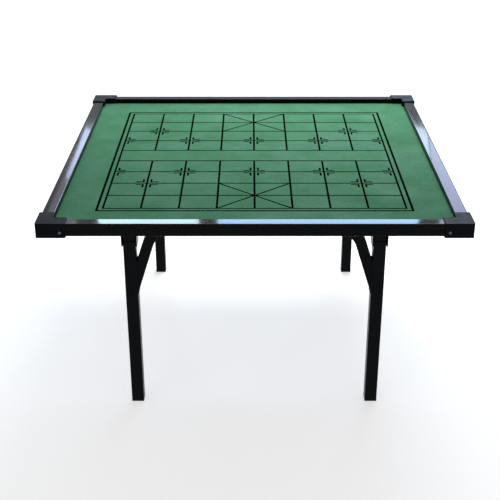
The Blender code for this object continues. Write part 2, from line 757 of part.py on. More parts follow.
def make_leg_frame(end, y_sign, panel):
    """One folding frame: two legs, their bow and feet, and the brackets, springs and bolts that hold it."""
    axis = fold_axis(end, y_sign)
    cross_rail = make_cross_rail(end, y_sign, panel)
    leg_bottom = FOOT_THICKNESS + SEAT_GAP
    leg_length = pivot_height(end) + LEG_SIZE / 2 - leg_bottom
    inner_size = LEG_SIZE - 2 * LEG_WALL
    leg_loops = [rectangle(LEG_SIZE, LEG_SIZE, LEG_CORNER_RADIUS), rectangle(inner_size, inner_size)]
    leg_mesh = plate_mesh("leg_" + end, leg_loops, leg_length, SATIN_BLACK)
    cap_mesh = foot_mesh()

    bolt_length = 2 * CHEEK_OUTER + 2 * SEAT_GAP + NUT_HEIGHT + BOLT_END
    bolt_profile = headed_profile(BOLT_RADIUS, bolt_length, BOLT_HEAD_RADIUS, BOLT_HEAD_HEIGHT)
    bolt_mesh = turned_mesh("pivot_bolt", bolt_profile, ZINC)
    nut_loops = [circle(NUT_RADIUS, NUT_SIDES), circle(BOLT_RADIUS + BORE_CLEARANCE, BORE_SIDES)]
    nut_mesh = plate_mesh("pivot_nut", nut_loops, NUT_HEIGHT, ZINC)

    plate_stack = SEAT_GAP + BRACKET_THICKNESS + SEAT_GAP + cross_rail_height(end)
    screw_length = plate_stack + SEAT_GAP + SCREW_BITE
    bracket_screw = screw_mesh("bracket_screw_" + end, screw_length)
    for side, x_sign in SIDES:
        corner = f"{end}_{side}"
        pivot = Vector((x_sign * LEG_X, y_sign * LEG_Y, pivot_height(end)))
        bracket = make_bracket(corner, pivot, y_sign)
        spring = make_catch_spring(corner, pivot, y_sign)
        leg = make_leg(corner, pivot, leg_mesh, leg_length, axis)
        make_pivot(corner, pivot, x_sign, (bracket, leg), (bolt_mesh, nut_mesh))
        foot = add_object("foot_cap_" + corner, cap_mesh)
        place(foot, Matrix.Translation((pivot.x, pivot.y, 0.0)), axis)

        plate_seat = pivot + UP * (PIVOT_DROP - SEAT_GAP)
        outer_seat = plate_seat + AWAY * (y_sign * BRACKET_SCREW_Y)
        panel_screw(
            f"bracket_screw_{corner}_outer", bracket_screw, outer_seat, screw_length,
            (bracket, cross_rail, panel),
        )
        spring_seat = plate_seat - UP * (SPRING_THICKNESS + SEAT_GAP)
        inner_seat = spring_seat - AWAY * (y_sign * BRACKET_SCREW_Y)
        panel_screw(
            f"bracket_screw_{corner}_inner", bracket_screw, inner_seat, screw_length,
            (spring, bracket, cross_rail, panel),
        )
    make_bow(end, axis)


def main():
    """Builds the whole table."""
    panel = make_board()
    rails = make_rails()
    make_guards(rails)
    for end, y_sign in ENDS:
        make_leg_frame(end, y_sign, panel)


main()
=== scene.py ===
# %% [markdown]
# # A folding game table, dressed
#
# The solids of the table are already made and packed: every rail, leg, bracket and screw is in its
# real place. This lesson gives them their looks. Each step takes one kind of piece, says what it is
# on the real table, and models it again with the soft edges, bends, recesses and welds that catch
# the light.

# %% Load the solids
import json
import math
import random

import bmesh
import bpy
from mathutils import Matrix, Quaternion, Vector

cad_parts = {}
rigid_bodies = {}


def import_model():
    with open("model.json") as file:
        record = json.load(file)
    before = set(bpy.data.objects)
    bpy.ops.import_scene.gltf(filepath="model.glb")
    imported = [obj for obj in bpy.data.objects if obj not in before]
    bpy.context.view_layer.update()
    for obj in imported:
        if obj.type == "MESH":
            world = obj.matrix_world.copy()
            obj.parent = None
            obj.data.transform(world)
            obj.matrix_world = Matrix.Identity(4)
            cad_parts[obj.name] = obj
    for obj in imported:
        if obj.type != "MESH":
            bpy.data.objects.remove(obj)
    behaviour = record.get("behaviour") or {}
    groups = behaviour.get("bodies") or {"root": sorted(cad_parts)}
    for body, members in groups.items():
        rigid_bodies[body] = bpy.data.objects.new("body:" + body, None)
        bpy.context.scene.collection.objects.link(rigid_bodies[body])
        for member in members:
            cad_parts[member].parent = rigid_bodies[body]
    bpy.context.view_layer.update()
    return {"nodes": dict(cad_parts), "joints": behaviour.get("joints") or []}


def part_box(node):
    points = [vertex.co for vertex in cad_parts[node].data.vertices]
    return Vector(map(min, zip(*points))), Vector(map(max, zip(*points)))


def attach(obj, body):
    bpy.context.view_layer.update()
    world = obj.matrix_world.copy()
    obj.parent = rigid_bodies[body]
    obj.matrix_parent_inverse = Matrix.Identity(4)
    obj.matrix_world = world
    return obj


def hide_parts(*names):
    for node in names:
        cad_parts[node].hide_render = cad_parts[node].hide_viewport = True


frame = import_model()
scene = bpy.context.scene

# %% [markdown]
# ## Names and places
#
# The table has a front and a back leg frame, and a left and a right side. Every piece that repeats
# is named by these words, so loops over them reach all the copies.

# %% Names and places
ENDS = (("front", -1), ("back", 1))
SIDES = (("left", -1), ("right", 1))
CORNERS = [(f"{end}_{side}", end, x, y) for end, y in ENDS for side, x in SIDES]
TOP_BODY = "table_top"
FRAME_BODY = {"front": "front_leg_frame", "back": "back_leg_frame"}
X, Y, Z = Vector((1, 0, 0)), Vector((0, 1, 0)), Vector((0, 0, 1))
PIVOTS = {joint["child"]: Vector(joint["pos_m"]) for joint in frame["joints"]}


def middle(node):
    """The middle of a solid's box."""
    low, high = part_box(node)
    return (low + high) / 2


def size(node):
    """The lengths of a solid's box along X, Y and Z."""
    low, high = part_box(node)
    return high - low


print("corners:", [corner for corner, *_ in CORNERS])
print("fold axes pass through:", {body: tuple(place) for body, place in PIVOTS.items()})

# %% [markdown]
# ## Finishes
#
# A finish is a small tree of nodes in front of one Principled shader. It could be an image, but a
# pattern made by nodes is sharp at any distance and needs no unwrapping. Every pattern reads Object
# coordinates, so it has its real size in metres on every piece. The class below has one short method
# for each thing that the finishes need: a cloudy texture, a stretched one, a texture turned into
# numbers or into colours, and a fine bump. The plain colour and roughness of a finish are what shows
# where its nodes can't be read.

# %% Helpers for finishes
PATTERN_LOW, PATTERN_HIGH = 0.3, 0.7


def give(tree, node, values):
    """Sets a node's inputs to plain values, or joins them to the outputs of other nodes."""
    for name, value in values.items():
        if isinstance(value, bpy.types.NodeSocket):
            tree.links.new(value, node.inputs[name])
        else:
            node.inputs[name].default_value = value


def add_node(tree, kind, values=None, **settings):
    """A new node with some of its settings changed and some of its inputs given."""
    node = tree.nodes.new(kind)
    for name, value in settings.items():
        setattr(node, name, value)
    give(tree, node, values or {})
    return node


class Finish:
    """A Principled material with a few short ways to add texture to it."""

    def __init__(self, name, colour, roughness, metallic=0.0, specular=0.5):
        self.material = bpy.data.materials.new(name)
        self.material.use_nodes = True
        self.tree = self.material.node_tree
        self.shader = self.tree.nodes["Principled BSDF"]
        self.place = self.add("ShaderNodeTexCoord").outputs["Object"]
        self.set({
            "Base Color": (*colour, 1.0), "Roughness": roughness, "Metallic": metallic,
            "Specular IOR Level": specular,
        })

    def add(self, kind, values=None, **settings):
        """A new node of this finish."""
        return add_node(self.tree, kind, values, **settings)

    def set(self, values):
        """Gives the shader plain values or patterns."""
        give(self.tree, self.shader, values)

    def stretched(self, scale):
        """Object coordinates, multiplied along each axis."""
        return self.add("ShaderNodeMapping", {"Vector": self.place, "Scale": scale}).outputs["Vector"]

    def noise(self, grain, detail=3.0, roughness=0.55, place=None):
        """A cloudy pattern whose patches are about one grain across, in metres."""
        values = {"Scale": 1.0 / grain, "Detail": detail, "Roughness": roughness}
        return self.add("ShaderNodeTexNoise", {"Vector": place or self.place, **values}).outputs["Fac"]

    def spread(self, source, low, high, from_low=PATTERN_LOW, from_high=PATTERN_HIGH):
        """Maps a pattern to a range of numbers."""
        limits = {"From Min": from_low, "From Max": from_high, "To Min": low, "To Max": high}
        return self.add("ShaderNodeMapRange", {"Value": source, **limits}).outputs["Result"]

    def tint(self, source, dark, light, low=PATTERN_LOW, high=PATTERN_HIGH):
        """Maps a pattern to colours between two ends."""
        node = self.add("ShaderNodeValToRGB", {"Fac": source})
        first, last = node.color_ramp.elements
        first.position, last.position = low, high
        first.color, last.color = (*dark, 1.0), (*light, 1.0)
        return node.outputs["Color"]

    def mixed(self, base, other, amount, blend="MULTIPLY"):
        """Blends one colour over another."""
        values = {"Factor": amount, "A": base, "B": other}
        return self.add("ShaderNodeMix", values, data_type="RGBA", blend_type=blend).outputs["Result"]

    def colour(self, source):
        """Lets a pattern give the colour."""
        self.set({"Base Color": source})

    def roughness(self, source, low, high):
        """Lets a pattern give the roughness, within a range."""
        self.set({"Roughness": self.spread(source, low, high)})

    def bump(self, source, depth, strength):
        """Raises the surface by a pattern, depth in metres. Bumps stack one after another."""
        values = {"Height": source, "Distance": depth, "Strength": strength}
        earlier = self.shader.inputs["Normal"].links
        if earlier:
            values["Normal"] = earlier[0].from_socket
        self.set({"Normal": self.add("ShaderNodeBump", values).outputs["Normal"]})


print("finish helpers ready")

# %% [markdown]
# ### Black lacquer on the rim rails
#
# The rails are gloss black: their flat tops mirror whatever is bright behind the table. A perfect
# mirror would look like plastic film, so two things break it. Fine draw lines run along each rail,
# left by the tube mill and by wiping, and a slow unevenness in the lacquer bends the edge of the
# reflection. The lines must follow the rail, so the finish is made once for the rails along X and
# once for those along Y.

# %% Rail lacquer
LINES_ALONG = 6.0
LINES_ACROSS = 900.0


def rail_lacquer(name, axis):
    """Gloss black with draw lines along one axis."""
    finish = Finish(name, (0.004, 0.004, 0.004), 0.08, specular=0.05)
    stretch = [LINES_ACROSS, LINES_ACROSS, LINES_ACROSS]
    stretch["xy".index(axis)] = LINES_ALONG
    lines = finish.noise(1.0, detail=4.0, place=finish.stretched(stretch))
    handling = finish.noise(0.06)
    dust = finish.noise(0.0016, detail=2.0)
    finish.roughness(finish.mixed(lines, handling, 0.5, "OVERLAY"), 0.03, 0.09)
    finish.colour(finish.tint(dust, (0.003, 0.003, 0.003), (0.008, 0.008, 0.009), 0.62, 0.85))
    finish.bump(finish.noise(0.012, detail=1.0), 0.0002, 0.04)
    finish.bump(lines, 0.00002, 0.12)
    return finish.material


LACQUER = {axis: rail_lacquer("rail_lacquer_along_" + axis, axis) for axis in "xy"}
print("lacquer:", [material.name for material in LACQUER.values()])

# %% [markdown]
# ### Powder coat, moulded plastic, rubber and metal
#
# Legs, bows and brackets are powder coated: satin black with a faint orange peel. The corner guards
# are moulded plastic with a fine grain and a slightly bluer black. The feet are rubber with a dusty
# bloom. Screws, bolts and nuts are zinc plated and have gone dull and cloudy, and the catch springs
# are blued steel. Each finish varies its colour, its roughness or both, because real black is never
# one even tone.

# %% Finishes of the frame and the fittings
SMOOTH_PATCHES, DULL_PATCHES = 0.75, 1.35


def powder_coat():
    """Satin black with orange peel."""
    finish = Finish("satin_powder_coat", (0.003, 0.003, 0.003), 0.30, specular=0.06)
    finish.roughness(finish.noise(0.025, detail=4.0), 0.24, 0.36)
    finish.colour(finish.tint(finish.noise(0.09), (0.0015, 0.0021, 0.0026), (0.0038, 0.0050, 0.0060)))
    finish.bump(finish.noise(0.0018, detail=1.5), 0.0001, 0.16)
    return finish.material


def moulded_plastic():
    """Black moulding with a fine grain and paler scuffs."""
    finish = Finish("moulded_guard_plastic", (0.004, 0.005, 0.007), 0.50, specular=0.04)
    finish.roughness(finish.noise(0.02), 0.46, 0.60)
    base = finish.tint(finish.noise(0.03), (0.003, 0.004, 0.006), (0.005, 0.006, 0.009))
    scuffs = finish.tint(finish.noise(0.004, detail=5.0), (1, 1, 1), (1.9, 1.9, 1.9), 0.60, 0.80)
    finish.colour(finish.mixed(base, scuffs, 1.0))
    finish.bump(finish.noise(0.0007, detail=2.0), 0.0001, 0.2)
    return finish.material


def dusty_rubber():
    """Dull black rubber with a dusty bloom."""
    finish = Finish("foot_rubber", (0.010, 0.010, 0.010), 0.75, specular=0.3)
    bloom = finish.noise(0.006, detail=4.0)
    finish.colour(finish.tint(bloom, (0.006, 0.006, 0.006), (0.020, 0.020, 0.019)))
    finish.bump(finish.noise(0.0009, detail=2.0), 0.0001, 0.3)
    return finish.material


def plated_steel(name, dark, light, roughness):
    """Plated metal with cloudy patches and fine scratches."""
    finish = Finish(name, light, roughness, metallic=1.0)
    finish.colour(finish.tint(finish.noise(0.0025, detail=4.0), dark, light))
    finish.roughness(finish.noise(0.0012), roughness * SMOOTH_PATCHES, roughness * DULL_PATCHES)
    finish.bump(finish.noise(0.0006, detail=2.0), 0.00005, 0.12)
    return finish.material


POWDER_COAT = powder_coat()
GUARD_PLASTIC = moulded_plastic()
FOOT_RUBBER = dusty_rubber()
ZINC = plated_steel("zinc_plate", (0.07, 0.07, 0.075), (0.13, 0.13, 0.14), 0.38)
SPRING_STEEL = plated_steel("blued_spring_steel", (0.06, 0.07, 0.10), (0.17, 0.18, 0.23), 0.30)
print("finishes so far:", len(bpy.data.materials))

# %% [markdown]
# ### The green playing sheet, its ink and the board below
#
# The sheet is matte and mottled: broad clouds where the colour went on thicker, a short fibre, and a
# pebble fine enough to be felt more than seen. Ink soaks into it, so the lines are matte too, with
# the same pebble, and one function makes both. The board below is pressed fibre, raw on its
# underside.


# %% Finishes of the board
def printed_surface(name, darkest, lightest, specular):
    """A matte surface with broad mottling and a fine pebble."""
    finish = Finish(name, lightest, 0.8, specular=specular)
    clouds = finish.tint(finish.noise(0.07, detail=4.0, roughness=0.6), darkest, lightest)
    fibres = finish.noise(1.0, detail=5.0, place=finish.stretched((260.0, 420.0, 300.0)))
    pale = finish.tint(fibres, (0.86, 0.87, 0.86), (1.10, 1.09, 1.10), 0.35, 0.65)
    finish.colour(finish.mixed(clouds, pale, 1.0))
    finish.roughness(finish.noise(0.11, detail=2.0), 0.68, 0.9)
    finish.bump(finish.noise(0.0022), 0.0002, 0.22)
    return finish.material


def pressed_board():
    """Raw pressed fibre board: short tangled fibres in warm browns."""
    finish = Finish("pressed_fibre_board", (0.27, 0.18, 0.10), 0.85, specular=0.2)
    tangle = finish.stretched((160.0, 420.0, 300.0))
    fibres = finish.noise(1.0, detail=6.0, roughness=0.7, place=tangle)
    finish.colour(finish.tint(fibres, (0.17, 0.105, 0.055), (0.34, 0.235, 0.135)))
    finish.bump(fibres, 0.0003, 0.35)
    return finish.material


SHEET_GREEN = printed_surface(
    "green_playing_sheet", (0.046, 0.168, 0.083), (0.066, 0.208, 0.111), specular=0.05
)
SHEET_INK = printed_surface(
    "black_board_ink", (0.001, 0.003, 0.002), (0.003, 0.006, 0.004), specular=0.0
)
BOARD_CORE = pressed_board()
print("finishes:", len(bpy.data.materials))

# %% [markdown]
# ## Shapes
#
# Every piece is modelled as a bmesh, with its place in its mesh. Most of them start as one of three
# shapes: a bar with rounded edges, a square tube, or a turned profile. A tube could be two boxes and
# a cut, but a bar that loses its ends and then gets a wall keeps one even thickness.

# %% Bars, tubes and turned shapes
SHARP = math.radians(35.0)
PARALLEL = 0.999
TOUCH = 1e-6
EDGE_STEPS = 2
CORNER_STEPS = 4
SOFT_STEPS = 6
ROUND_STEPS = 32


def bevel(shape, parts, width, steps, affect="EDGES"):
    """Rounds edges, or the corners of a flat outline. One step gives a flat chamfer."""
    bmesh.ops.bevel(
        shape, geom=list(parts), offset=width, offset_type="OFFSET", segments=steps,
        profile=0.5, affect=affect, material=-1, clamp_overlap=True,
    )


def lengthwise(shape, axis):
    """The edges that run along an axis."""
    found = []
    for edge in shape.edges:
        line = edge.verts[1].co - edge.verts[0].co
        if abs(line.normalized().dot(axis)) > PARALLEL:
            found.append(edge)
    return found


def sharp_edges(shape):
    """The edges that are still sharp."""
    return [edge for edge in shape.edges if edge.calc_face_angle(0.0) > SHARP]


def edges_of(faces):
    """The edges round some faces, each of them once."""
    return list(dict.fromkeys(edge for face in faces for edge in face.edges))


def bar(low, high, edge=0.0, steps=EDGE_STEPS):
    """A box between two corners with its edges rounded."""
    low, high = Vector(low), Vector(high)
    shape = bmesh.new()
    bmesh.ops.create_cube(shape, size=1.0)
    bmesh.ops.scale(shape, vec=[abs(b - a) for a, b in zip(low, high)], verts=shape.verts)
    bmesh.ops.translate(shape, vec=(low + high) / 2, verts=shape.verts)
    if edge:
        bevel(shape, shape.edges, edge, steps)
    return shape


def walled(shape, wall):
    """A skin with its faces outwards, and a wall that grows inwards from it."""
    bmesh.ops.recalc_face_normals(shape, faces=shape.faces)
    bmesh.ops.solidify(shape, geom=list(shape.faces), thickness=wall)
    return shape


def hollowed(shape, axis, wall):
    """A bar made into a tube, open at both ends."""
    ends = [face for face in shape.faces if abs(face.normal.dot(axis)) > PARALLEL]
    bmesh.ops.delete(shape, geom=ends, context="FACES_ONLY")
    return walled(shape, wall)


def tube(low, high, axis, radius, wall):
    """A square tube with four equal corners."""
    shape = bar(low, high)
    bevel(shape, lengthwise(shape, axis), radius, CORNER_STEPS)
    return hollowed(shape, axis, wall)


def spun(profile, steps=ROUND_STEPS):
    """A turned shape from (radius, height) points, which start and end on the axis."""
    shape = bmesh.new()
    points = [shape.verts.new((radius, 0.0, height)) for radius, height in profile]
    edges = [shape.edges.new(pair) for pair in zip(points, points[1:])]
    bmesh.ops.spin(
        shape, geom=points + edges, cent=(0, 0, 0), axis=Z, angle=2 * math.pi, steps=steps,
        use_merge=True,
    )
    bmesh.ops.remove_doubles(shape, verts=shape.verts, dist=TOUCH)
    bmesh.ops.recalc_face_normals(shape, faces=shape.faces)
    return shape


def moved(shape, matrix):
    """The same shape at another place."""
    bmesh.ops.transform(shape, matrix=matrix, verts=shape.verts)
    return shape


def pointing(place, direction):
    """A matrix that puts local Z along a direction."""
    turn = Vector(direction).to_track_quat("Z", "Y")
    return Matrix.Translation(place) @ turn.to_matrix().to_4x4()


print("shape helpers ready")

# %% [markdown]
# ### From a shape to a piece
#
# `to_mesh` closes doubles, points the faces outwards, and shades soft edges smooth and sharp ones
# sharp. `add_piece` makes the object: it says which finish the piece has, which body it moves with
# and which solids it stands for. It also weights the normals by the area of the faces: without that,
# a rounded edge would bend the reflections on the flat face beside it.


# %% Meshes and pieces
def to_mesh(name, shape, finishes, outwards=True):
    """A finished mesh, smooth or sharp at an edge by its angle."""
    bmesh.ops.remove_doubles(shape, verts=shape.verts, dist=TOUCH)
    if outwards:
        bmesh.ops.recalc_face_normals(shape, faces=shape.faces)
    mesh = bpy.data.meshes.new(name)
    shape.to_mesh(mesh)
    shape.free()
    for finish in finishes:
        mesh.materials.append(finish)
    mesh.shade_smooth()
    mesh.set_sharp_from_angle(angle=SHARP)
    return mesh


def add_piece(name, shape, finishes, body, slot, *nodes, outwards=True):
    """An object that moves with a body and stands for some solids."""
    piece = bpy.data.objects.new(name, to_mesh(name, shape, finishes, outwards))
    scene.collection.objects.link(piece)
    even = piece.modifiers.new("flat_faces_stay_flat", "WEIGHTED_NORMAL")
    even.keep_sharp = True
    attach(piece, body)
    if nodes:
        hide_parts(*nodes)
    return piece


print("piece helpers ready")

# %% [markdown]
# ## Camera
#
# The table is seen from in front and above, a little more than two metres away, with a long lens.
# The camera comes early because every later look is checked through it.

# %% Camera
CAMERA_PLACE = (-0.010, -2.310, 1.330)
CAMERA_PITCH = math.radians(25.55)
LENS_MM = 72.0
SENSOR_MM = 36.0

camera = bpy.data.objects.new("camera", bpy.data.cameras.new("camera"))
scene.collection.objects.link(camera)
camera.location = CAMERA_PLACE
camera.rotation_euler = (math.pi / 2 - CAMERA_PITCH, 0.0, 0.0)
camera.data.lens = LENS_MM
camera.data.sensor_width = SENSOR_MM
scene.camera = camera
print("camera at", CAMERA_PLACE, "with a lens of", LENS_MM, "mm")

# %% [markdown]
# ## World and floor
#
# The table stands on a pale floor in a white room. Light Path tells the rays that see the room,
# straight or in a mirror, from those that only carry its light. So the world is white where it is
# seen, and yet lights the table at a plain level, at which a colour comes out about as it is
# written. The floor glows a little where it is seen. Close to the table it glows less, so that the
# soft shadow shows, and further away it glows more, so that it runs into the white world without a
# seam. From below, the floor is clear, so that the underside can be looked at too.

# %% World and floor
WHITE = (1.0, 1.0, 1.0, 1.0)
WORLD_LIGHT = 0.36
FLOOR_COLOUR = (0.80, 0.80, 0.80)
FLOOR_SIDE = 40.0
FLOOR_GLOW = (0.56, 0.71)
GLOW_DISTANCES = (0.9, 4.0)
scene.view_settings.view_transform = "Standard"


def seen_directly(tree):
    """A number that is 1 for camera, mirror and glass rays, and 0 for the light that falls on things."""
    path = add_node(tree, "ShaderNodeLightPath").outputs
    seen = path["Is Camera Ray"]
    for name in ("Is Glossy Ray", "Is Transmission Ray"):
        either = add_node(tree, "ShaderNodeMath", {0: seen, 1: path[name]}, operation="MAXIMUM")
        seen = either.outputs["Value"]
    return seen


def white_world():
    """A world that is white where it is seen, and dimmer as a light."""
    world = bpy.data.worlds.new("studio")
    world.use_nodes = True
    tree = world.node_tree
    values = {"Value": seen_directly(tree), "To Min": WORLD_LIGHT, "To Max": 1.0}
    strength = add_node(tree, "ShaderNodeMapRange", values).outputs["Result"]
    give(tree, tree.nodes["Background"], {"Color": WHITE, "Strength": strength})
    return world


def floor_paint():
    """White that glows where it is seen, more with distance, and is clear from below."""
    finish = Finish("pale_floor", FLOOR_COLOUR, 0.9, specular=0.0)
    distance = finish.add("ShaderNodeVectorMath", {0: finish.place}, operation="LENGTH")
    level = finish.spread(distance.outputs["Value"], *FLOOR_GLOW, *GLOW_DISTANCES)
    values = {0: level, 1: seen_directly(finish.tree)}
    glow = finish.add("ShaderNodeMath", values, operation="MULTIPLY").outputs["Value"]
    finish.set({"Emission Color": WHITE, "Emission Strength": glow})
    backfacing = finish.add("ShaderNodeNewGeometry").outputs["Backfacing"]
    clear = finish.add("ShaderNodeBsdfTransparent").outputs["BSDF"]
    values = {"Fac": backfacing, 1: finish.shader.outputs["BSDF"], 2: clear}
    surface = finish.add("ShaderNodeMixShader", values).outputs["Shader"]
    give(finish.tree, finish.tree.nodes["Material Output"], {"Surface": surface})
    return finish.material


scene.world = white_world()
ground = bmesh.new()
bmesh.ops.create_grid(ground, x_segments=1, y_segments=1, size=FLOOR_SIDE / 2)
floor = bpy.data.objects.new("floor", to_mesh("floor", ground, [floor_paint()], outwards=False))
scene.collection.objects.link(floor)
print("floor:", FLOOR_SIDE, "m wide; world light:", WORLD_LIGHT)

# %% [markdown]
# ## Lamps
#
# Gloss black shows what it mirrors, so the shape of a lamp matters here more than its strength.
# Panes stand behind the table like those of a window, and the tops of the rails mirror them towards
# the camera, with dark gaps between. The low panes show in the side rails and the high ones in the
# front rail. Two panes lean, a bright one and a dim one, so that their reflections keep to the inner
# half of the left rail. A small pane shows in the left end of the front rail. A soft lamp hangs above
# the back of the table, and another fills in from the front left.

# %% Lamps
WINDOW_Y = 4.2
LOW_PANES = (1.85, 2.36)
HIGH_PANES = (2.42, 2.75)
LOW_SIDE_PANE = (1.85, 2.42)
LEANING_PANE = (1.892, 2.292)
DIM_PANE = (2.146, 2.622)
CORNER_PANE = (2.47, 2.66)
PANE_LEAN = math.radians(-23.0)
DIM_PANE_LEAN = math.radians(-27.2)
OVERHEAD_PLACE, OVERHEAD_TARGET = (0.25, 0.85, 1.34), (0.25, 0.55, 0.5)
FILL_PLACE, FILL_TARGET = (-2.6, -3.2, 3.4), (0.0, 0.0, 0.4)


def soft_light(name, place, target, width, height, watts, colour, lean=0.0):
    """A rectangular lamp that faces a point. It lights and mirrors, but isn't seen itself."""
    lamp = bpy.data.lights.new(name, "AREA")
    lamp.shape = "RECTANGLE"
    lamp.size, lamp.size_y = width, height
    lamp.energy = watts
    lamp.color = colour
    holder = bpy.data.objects.new(name, lamp)
    scene.collection.objects.link(holder)
    holder.location = place
    facing = (Vector(target) - Vector(place)).to_track_quat("-Z", "Y")
    holder.rotation_euler = (facing @ Quaternion(Z, lean)).to_euler()
    holder.visible_camera = False


def window_pane(name, left, right, heights, radiance, colour, lean=0.0):
    """A pane behind the table, as bright as its radiance says, and turned in its own plane."""
    low, high = heights
    width, height = right - left, high - low
    place = ((left + right) / 2, WINDOW_Y, (low + high) / 2)
    straight_ahead = (place[0], 0.0, place[2])
    watts = radiance * math.pi * width * height
    soft_light(name, place, straight_ahead, width, height, watts, colour, lean)


for pane in (
    ("leaning_pane", -1.226, -0.926, LEANING_PANE, 13.6, (0.60, 0.71, 1.0), PANE_LEAN),
    ("dim_leaning_pane", -1.390, -1.190, DIM_PANE, 2.4, (0.76, 0.74, 1.0), DIM_PANE_LEAN),
    ("corner_pane", -1.40, -1.25, CORNER_PANE, 5.0, (1.0, 0.96, 0.93)),
    ("low_right_pane", -0.20, 1.22, LOW_PANES, 13.5, (0.62, 0.78, 1.0)),
    ("high_left_pane", -1.09, -0.376, HIGH_PANES, 26.0, (0.62, 0.88, 1.0)),
    ("high_right_pane", -0.241, 1.189, HIGH_PANES, 25.0, (0.39, 0.65, 1.0)),
    ("low_side_pane", 1.23, 2.1, LOW_SIDE_PANE, 11.0, (0.60, 0.68, 1.0)),
    ("high_side_pane", 1.34, 2.1, HIGH_PANES, 11.0, (0.60, 0.68, 1.0)),
):
    window_pane(*pane)
soft_light(
    "overhead_back", OVERHEAD_PLACE, OVERHEAD_TARGET, width=1.2, height=0.5, watts=19.0,
    colour=(0.97, 1.0, 0.99),
)
soft_light(
    "front_fill", FILL_PLACE, FILL_TARGET, width=2.2, height=2.2, watts=8.0, colour=(1.0, 0.99, 0.97)
)
print("lamps:", [light.name for light in bpy.data.lights])

# %% [markdown]
# ## Cutting and fusing
#
# Guards, brackets and legs have holes and sockets, and a bracket is one piece of steel though it is
# easiest to model as plates. A Boolean modifier does both best, because it keeps each shape exact
# and leaves one clean skin. All the tools of a piece go into one collection and work in a single
# step: several Booleans in a row would leave slivers where their faces nearly meet.


# %% Helpers for cutting and fusing
def as_object(name, shape):
    """A plain object for a shape that is only needed for a moment."""
    bmesh.ops.recalc_face_normals(shape, faces=shape.faces)
    mesh = bpy.data.meshes.new(name)
    shape.to_mesh(mesh)
    shape.free()
    return bpy.data.objects.new(name, mesh)


def evaluated(thing):
    """What an object's modifiers or a curve's bevel make of it, as a bmesh."""
    depsgraph = bpy.context.evaluated_depsgraph_get()
    mesh = bpy.data.meshes.new_from_object(thing.evaluated_get(depsgraph))
    shape = bmesh.new()
    shape.from_mesh(mesh)
    bpy.data.meshes.remove(mesh)
    return shape


def boolean(operation, shape, others):
    """What one Boolean makes of a shape and some others, which have to be closed."""
    target = as_object("target", shape)
    scene.collection.objects.link(target)
    tools = bpy.data.collections.new("tools")
    scene.collection.children.link(tools)
    for other in others:
        tools.objects.link(as_object("tool", other))
    step = target.modifiers.new("step", "BOOLEAN")
    step.operation = operation
    step.operand_type = "COLLECTION"
    step.collection = tools
    result = evaluated(target)
    for thing in [target, *tools.objects]:
        bpy.data.meshes.remove(thing.data)
    bpy.data.collections.remove(tools)
    return result


def cut_away(shape, cutters):
    """A shape less some others."""
    return boolean("DIFFERENCE", shape, cutters)


def fused(shape, *others):
    """Several shapes as one skin."""
    return boolean("UNION", shape, others)


def rod(start, stop, radius, sides=ROUND_STEPS):
    """A round bar between two points."""
    start, stop = Vector(start), Vector(stop)
    shape = bmesh.new()
    bmesh.ops.create_cone(
        shape, cap_ends=True, segments=sides, radius1=radius, radius2=radius,
        depth=(stop - start).length,
    )
    return moved(shape, pointing((start + stop) / 2, stop - start))


def only(items, kind):
    """The vertices or the edges among an operator's results."""
    return [item for item in items if isinstance(item, kind)]


def plate(outline, low, high):
    """A flat outline in plan, extruded from one height to another."""
    shape = bmesh.new()
    points = [shape.verts.new((x, y, low)) for x, y in outline]
    bmesh.ops.contextual_create(shape, geom=points)
    grown = bmesh.ops.extrude_face_region(shape, geom=list(shape.faces))["geom"]
    bmesh.ops.translate(shape, vec=Z * (high - low), verts=only(grown, bmesh.types.BMVert))
    bmesh.ops.recalc_face_normals(shape, faces=shape.faces)
    return shape


print("cutting helpers ready")

# %% [markdown]
# ## Rim rails
#
# Each rail is a thin square tube with a ledge on its inner side, which carries the board. It could
# be a curve with a bevel, but a hollowed bar keeps the flat faces truly flat, which matters on gloss
# black, where any ripple shows. Small rounded corners draw a fine line along each edge. The upper
# outer edge, where hands rest, is rounder: there the bright top ends before the dark face begins. The
# ledge laps into the wall of the tube and is fused with it. The ledges of the side rails stop short,
# where they would run into those of the front and back rails.

# %% Rim rails
RAIL_RADIUS = 0.0016
RAIL_OUTER_RADIUS = 0.004
RAIL_WALL = 0.0015
LEDGE_THICKNESS = 0.0025
LEDGE_WIDTH = 0.012
LEDGE_EDGE = 0.0004
LEDGE_GAP = 0.0003


def rail_tube(low, high, axis, outwards):
    """The tube of a rail. Its upper outer edge is rounder than the others."""
    shape = bar(low, high)
    edges = sorted(lengthwise(shape, axis), key=lambda edge: edge.verts[0].co.dot(outwards + Z))
    bevel(shape, edges[-1:], RAIL_OUTER_RADIUS, SOFT_STEPS)
    bevel(shape, edges[:-1], RAIL_RADIUS, CORNER_STEPS)
    return hollowed(shape, axis, RAIL_WALL)


